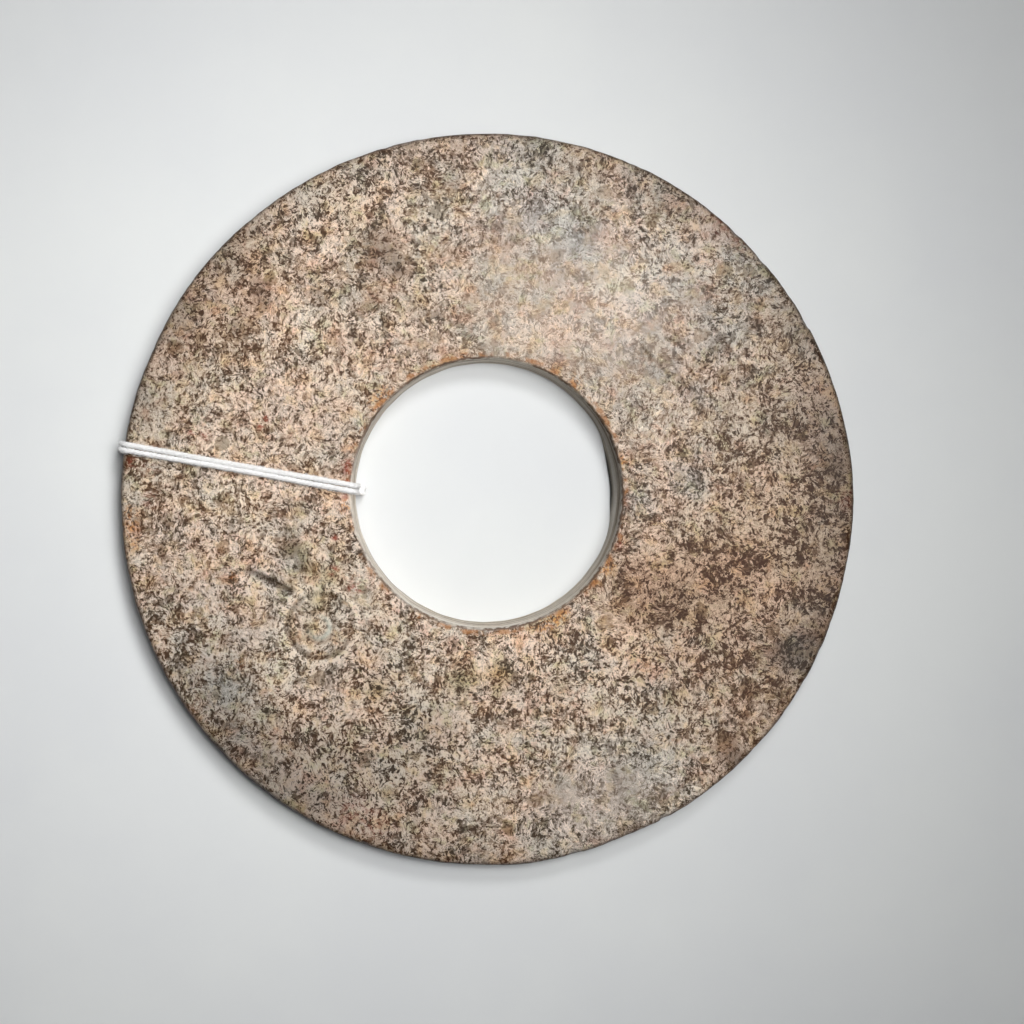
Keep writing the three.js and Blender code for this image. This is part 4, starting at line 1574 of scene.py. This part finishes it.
def turn_route():
    """One turn as (distance, height): over the face, down the rim, back under and up the bore."""
    corner = string_span - RIM_ROUND
    corner_height = face_height_at(plan_along_string(corner))
    edge_height = BORE_SIDE_THICKNESS - BORE_EDGE_ROUND
    low = STRING_RADIUS + STRING_LOW_BEND
    route = bend(BORE_EDGE_ROUND, edge_height, BORE_EDGE_ROUND + STRING_STAND, 180)
    for step in range(1, FACE_STEPS):
        distance = lerp(BORE_EDGE_ROUND, corner, step / FACE_STEPS)
        height = face_height_at(plan_along_string(distance))
        route.append(Vector((distance, height + STRING_STAND)))
    route += bend(corner, corner_height - RIM_ROUND, RIM_ROUND + STRING_STAND, 90)
    route += bend(string_span + STRING_STAND - STRING_LOW_BEND, low, STRING_LOW_BEND, 0)
    route += bend(BORE_FOOT - STRING_STAND + STRING_LOW_BEND, low, STRING_LOW_BEND, -90)
    return route


def evenly_spaced(route, spacing):
    """Points along a closed route at about that spacing."""
    closed = route + route[:1]
    lengths = [(after - before).length for before, after in zip(closed, closed[1:])]
    total = sum(lengths)
    count = round(total / spacing)
    points = []
    piece = 0
    passed = 0.0
    for index in range(count):
        goal = total * index / count
        while passed + lengths[piece] < goal:
            passed += lengths[piece]
            piece += 1
        points.append(closed[piece].lerp(closed[piece + 1], (goal - passed) / lengths[piece]))
    return points, total


print("one turn passes", len(turn_route()), "points")

# %% Two turns side by side
TURN_GAP = 0.17
TURN_SQUEEZE = 0.09
APART_FROM = 0.25
APART_FULLY = 0.7


def half_turn_spacing(distance):
    """Half the distance between the two turns: least in the middle of the face."""
    from_middle = abs(distance / string_span - 0.5) * 2
    share = smooth_step(APART_FROM, APART_FULLY, from_middle)
    return STRING_RADIUS + lerp(-TURN_SQUEEZE, TURN_GAP, share) / 2


def strand_points(sign):
    """The middle line of one turn, and its length."""
    flat, length = evenly_spaced(turn_route(), POINT_SPACING)
    points = []
    for station in flat:
        plan = plan_along_string(station.x) + string_side * (sign * half_turn_spacing(station.x))
        points.append(Vector((plan.x, plan.y, station.y)))
    return points, length


strands = [strand_points(1), strand_points(-1)]
print("string:", round(sum(length for _, length in strands)), "mm in two turns, without the knot")

# %% [markdown]
# ## Twist
#
# A twisted string is not a plain tube: three soft plies turn round each other. So every ply is
# a curve that winds round the strand's middle line and gets its thickness from a bevel. Where
# the ring lies on the string, the plies are pressed flat.

# %% Press and twist the plies
PLIES = 3
PLY_PITCH = 3.6
PLY_RADIUS = 0.45
PLY_OFFSET = 0.31
PLY_WOBBLE = 0.18
STRING_PRESSED = 0.9
STRING_FLOOR_GAP = 0.06
STRING_PRESS_END = 5.0
side_3d = string_side.to_3d()


def pressed(point):
    """Squeezes the string flat where the ring lies on it."""
    top = STRING_FLOOR_GAP + STRING_PRESSED
    full = STRING_RADIUS * 2
    if point.z < full:
        point.z = lerp(STRING_FLOOR_GAP, top, max(point.z, 0.0) / full)
    elif point.z < STRING_PRESS_END:
        point.z = lerp(top, STRING_PRESS_END, (point.z - full) / (STRING_PRESS_END - full))
    return point


def across_strand(middles, index):
    """Along the strand at a point, and two directions across it."""
    tangent = (middles[(index + 1) % len(middles)] - middles[index - 1]).normalized()
    side = (side_3d - tangent * side_3d.dot(tangent)).normalized()
    return tangent, side, side.cross(tangent)


def ply_path(middles, start_turn, turns, offset):
    """One ply: a helix round the strand's middle line."""
    path = []
    count = len(middles)
    for index, middle in enumerate(middles):
        _, side, outward = across_strand(middles, index)
        angle = start_turn + math.tau * turns * index / count
        wobble = 1 + PLY_WOBBLE * noise.noise(middle * 0.9 + Vector((start_turn, 0, 0)))
        place = middle + (side * math.cos(angle) + outward * math.sin(angle)) * offset * wobble
        path.append(pressed(place))
    return path


print("each turn is twisted", round(strands[0][1] / PLY_PITCH), "times")

# %% The knot
KNOT_HEIGHT = 3.4
KNOT_OUTWARD = 0.9
KNOT_STEPS = 44
KNOT_ACROSS = 0.34
KNOT_UP = 0.3
KNOT_OUT = 0.55
KNOT_TURNS = 5
KNOT_TIGHTNESS = 0.8


def knot_points():
    """The middle line of a small overhand knot at the foot of the bore's wall."""
    plan = plan_along_string(BORE_FOOT - STRING_STAND - KNOT_OUTWARD)
    centre = Vector((plan.x, plan.y, KNOT_HEIGHT))
    points = []
    for step in range(KNOT_STEPS):
        turn = math.tau * step / KNOT_STEPS
        across = (math.sin(turn) + 2 * math.sin(2 * turn)) * KNOT_ACROSS
        up = (math.cos(turn) - 2 * math.cos(2 * turn)) * KNOT_UP
        out = -math.sin(3 * turn) * KNOT_OUT
        points.append(centre + side_3d * across + Vector((0, 0, up)) + string_along.to_3d() * out)
    return points


def string_paths():
    """Every ply of both turns and of the knot."""
    paths = []
    for middles, length in strands:
        turns = round(length / PLY_PITCH)
        for ply in range(PLIES):
            paths.append(ply_path(middles, math.tau * ply / PLIES, turns, PLY_OFFSET))
    for ply in range(PLIES):
        start_turn = math.tau * ply / PLIES
        paths.append(ply_path(knot_points(), start_turn, KNOT_TURNS, PLY_OFFSET * KNOT_TIGHTNESS))
    return paths


print("the knot's middle is", KNOT_HEIGHT, "mm above the table")

# %% [markdown]
# ## Loose fibres
#
# What makes cotton look soft is its fuzz: very thin fibres that leave the string at a low angle
# and curl back. There are many of them, so each is a curve of three short pieces with a bevel
# of very few faces. The random numbers are seeded, so that the fibres are the same each time.

# %% Loose fibres
FIBRES = 2200
FIBRE_RADIUS = 0.018
FIBRE_PIECES = 3
FIBRE_LENGTHS = (0.8, 2.6)
FIBRE_REACHES = (0.05, 0.5)
FIBRE_CURL = 0.5
LOWEST_FIBRE = 1.5
chance = random.Random(7)


def fibre_paths():
    """Loose fibres that leave the strands at a low angle and curl back."""
    paths = []
    for _ in range(FIBRES):
        middles, _ = chance.choice(strands)
        index = chance.randrange(len(middles))
        middle = middles[index]
        if middle.z < LOWEST_FIBRE:
            continue
        tangent, side, outward = across_strand(middles, index)
        angle = chance.uniform(0, math.tau)
        away = side * math.cos(angle) + outward * math.sin(angle)
        swirl = away.cross(tangent)
        length = chance.uniform(*FIBRE_LENGTHS)
        reach = chance.uniform(*FIBRE_REACHES)
        lean = chance.choice((-1, 1))
        path = []
        for step in range(FIBRE_PIECES + 1):
            share = step / FIBRE_PIECES
            place = middle + away * (STRING_RADIUS * 0.9 + reach * math.sin(math.pi * share * 0.9))
            curl = FIBRE_CURL * share * share * length * 0.5
            place = place + tangent * (lean * length * share) + swirl * curl
            path.append(pressed(place))
        paths.append(path)
    return paths


# %% The string as one mesh
def curves_to_mesh(name, paths, radius, closed, resolution):
    """Round tubes along the paths, as one mesh in metres."""
    curve = bpy.data.curves.new(name, "CURVE")
    curve.dimensions = "3D"
    curve.bevel_depth = radius * MM
    curve.bevel_resolution = resolution
    curve.use_fill_caps = not closed
    for path in paths:
        spline = curve.splines.new("POLY")
        spline.points.add(len(path) - 1)
        spline.use_cyclic_u = closed
        for point, place in zip(spline.points, path):
            point.co = (*(place * MM), 1.0)
            point.radius = 1 + 0.1 * noise.noise(place * 1.3)
    holder = bpy.data.objects.new(name, curve)
    mesh = bpy.data.meshes.new_from_object(holder)
    bpy.data.objects.remove(holder)
    bpy.data.curves.remove(curve)
    return mesh


def make_string():
    """Plies and fibres joined to one mesh."""
    plies = curves_to_mesh("string_plies", string_paths(), PLY_RADIUS, True, 1)
    fibres = curves_to_mesh("string_fibres", fibre_paths(), FIBRE_RADIUS, False, 0)
    form = bmesh.new()
    form.from_mesh(plies)
    form.from_mesh(fibres)
    bmesh.ops.recalc_face_normals(form, faces=form.faces)
    mesh = bpy.data.meshes.new("tied_string")
    form.to_mesh(mesh)
    form.free()
    bpy.data.meshes.remove(plies)
    bpy.data.meshes.remove(fibres)
    mesh.polygons.foreach_set("use_smooth", [True] * len(mesh.polygons))
    piece = bpy.data.objects.new("tied_string", mesh)
    bpy.context.collection.objects.link(piece)
    return piece


tied_string = make_string()
print("string mesh:", sum(len(face.vertices) - 2 for face in tied_string.data.polygons), "triangles")

# %% [markdown]
# ## Cotton
#
# Bleached cotton is white and quite matt, a little greyer between its fibres. A noise that is
# stretched along the string gives fine streaks, both in colour and as a weak bump.

# %% Cotton
STREAK_SIZE = 0.22
STREAK_STRETCH = 4
COTTON_GREY = from_screen(234, 232, 231)
COTTON_WHITE = from_screen(249, 248, 247)
COTTON_BRIGHT = from_screen(254, 254, 253)
COTTON_ROUGHNESS = 0.9
COTTON_SPECULAR = 0.2
COTTON_BUMP_STRENGTH = 0.6
COTTON_BUMP_DEPTH = 0.1


def make_cotton():
    """White matt cotton with streaks along the string."""
    material = bpy.data.materials.new("cotton_string")
    material.use_nodes = True
    tree = material.node_tree
    shader = tree.nodes["Principled BSDF"]
    coordinates = add_node(tree, "ShaderNodeTexCoord").outputs["Object"]
    turn = add_node(tree, "ShaderNodeMapping", vector_type="TEXTURE")
    feed(tree, turn.inputs["Vector"], coordinates)
    turn.inputs["Rotation"].default_value = (0, 0, math.atan2(string_along.y, string_along.x))
    turn.inputs["Scale"].default_value = (STREAK_STRETCH * MM, MM, MM)
    streaks, _ = noise_at(tree, turn.outputs["Vector"], STREAK_SIZE, 3.0, 0.6)
    stops = ((0.3, COTTON_GREY), (0.5, COTTON_WHITE), (0.7, COTTON_BRIGHT))
    feed(tree, shader.inputs["Base Color"], colour_ramp(tree, streaks, stops))
    shader.inputs["Roughness"].default_value = COTTON_ROUGHNESS
    shader.inputs["Specular IOR Level"].default_value = COTTON_SPECULAR
    bump = add_node(tree, "ShaderNodeBump")
    feed(tree, bump.inputs["Height"], streaks)
    bump.inputs["Strength"].default_value = COTTON_BUMP_STRENGTH
    bump.inputs["Distance"].default_value = COTTON_BUMP_DEPTH * MM
    feed(tree, shader.inputs["Normal"], bump.outputs["Normal"])
    return material


tied_string.data.materials.append(make_cotton())
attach(tied_string, "root")
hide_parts("tie_string")
print("the string rides with the ring")
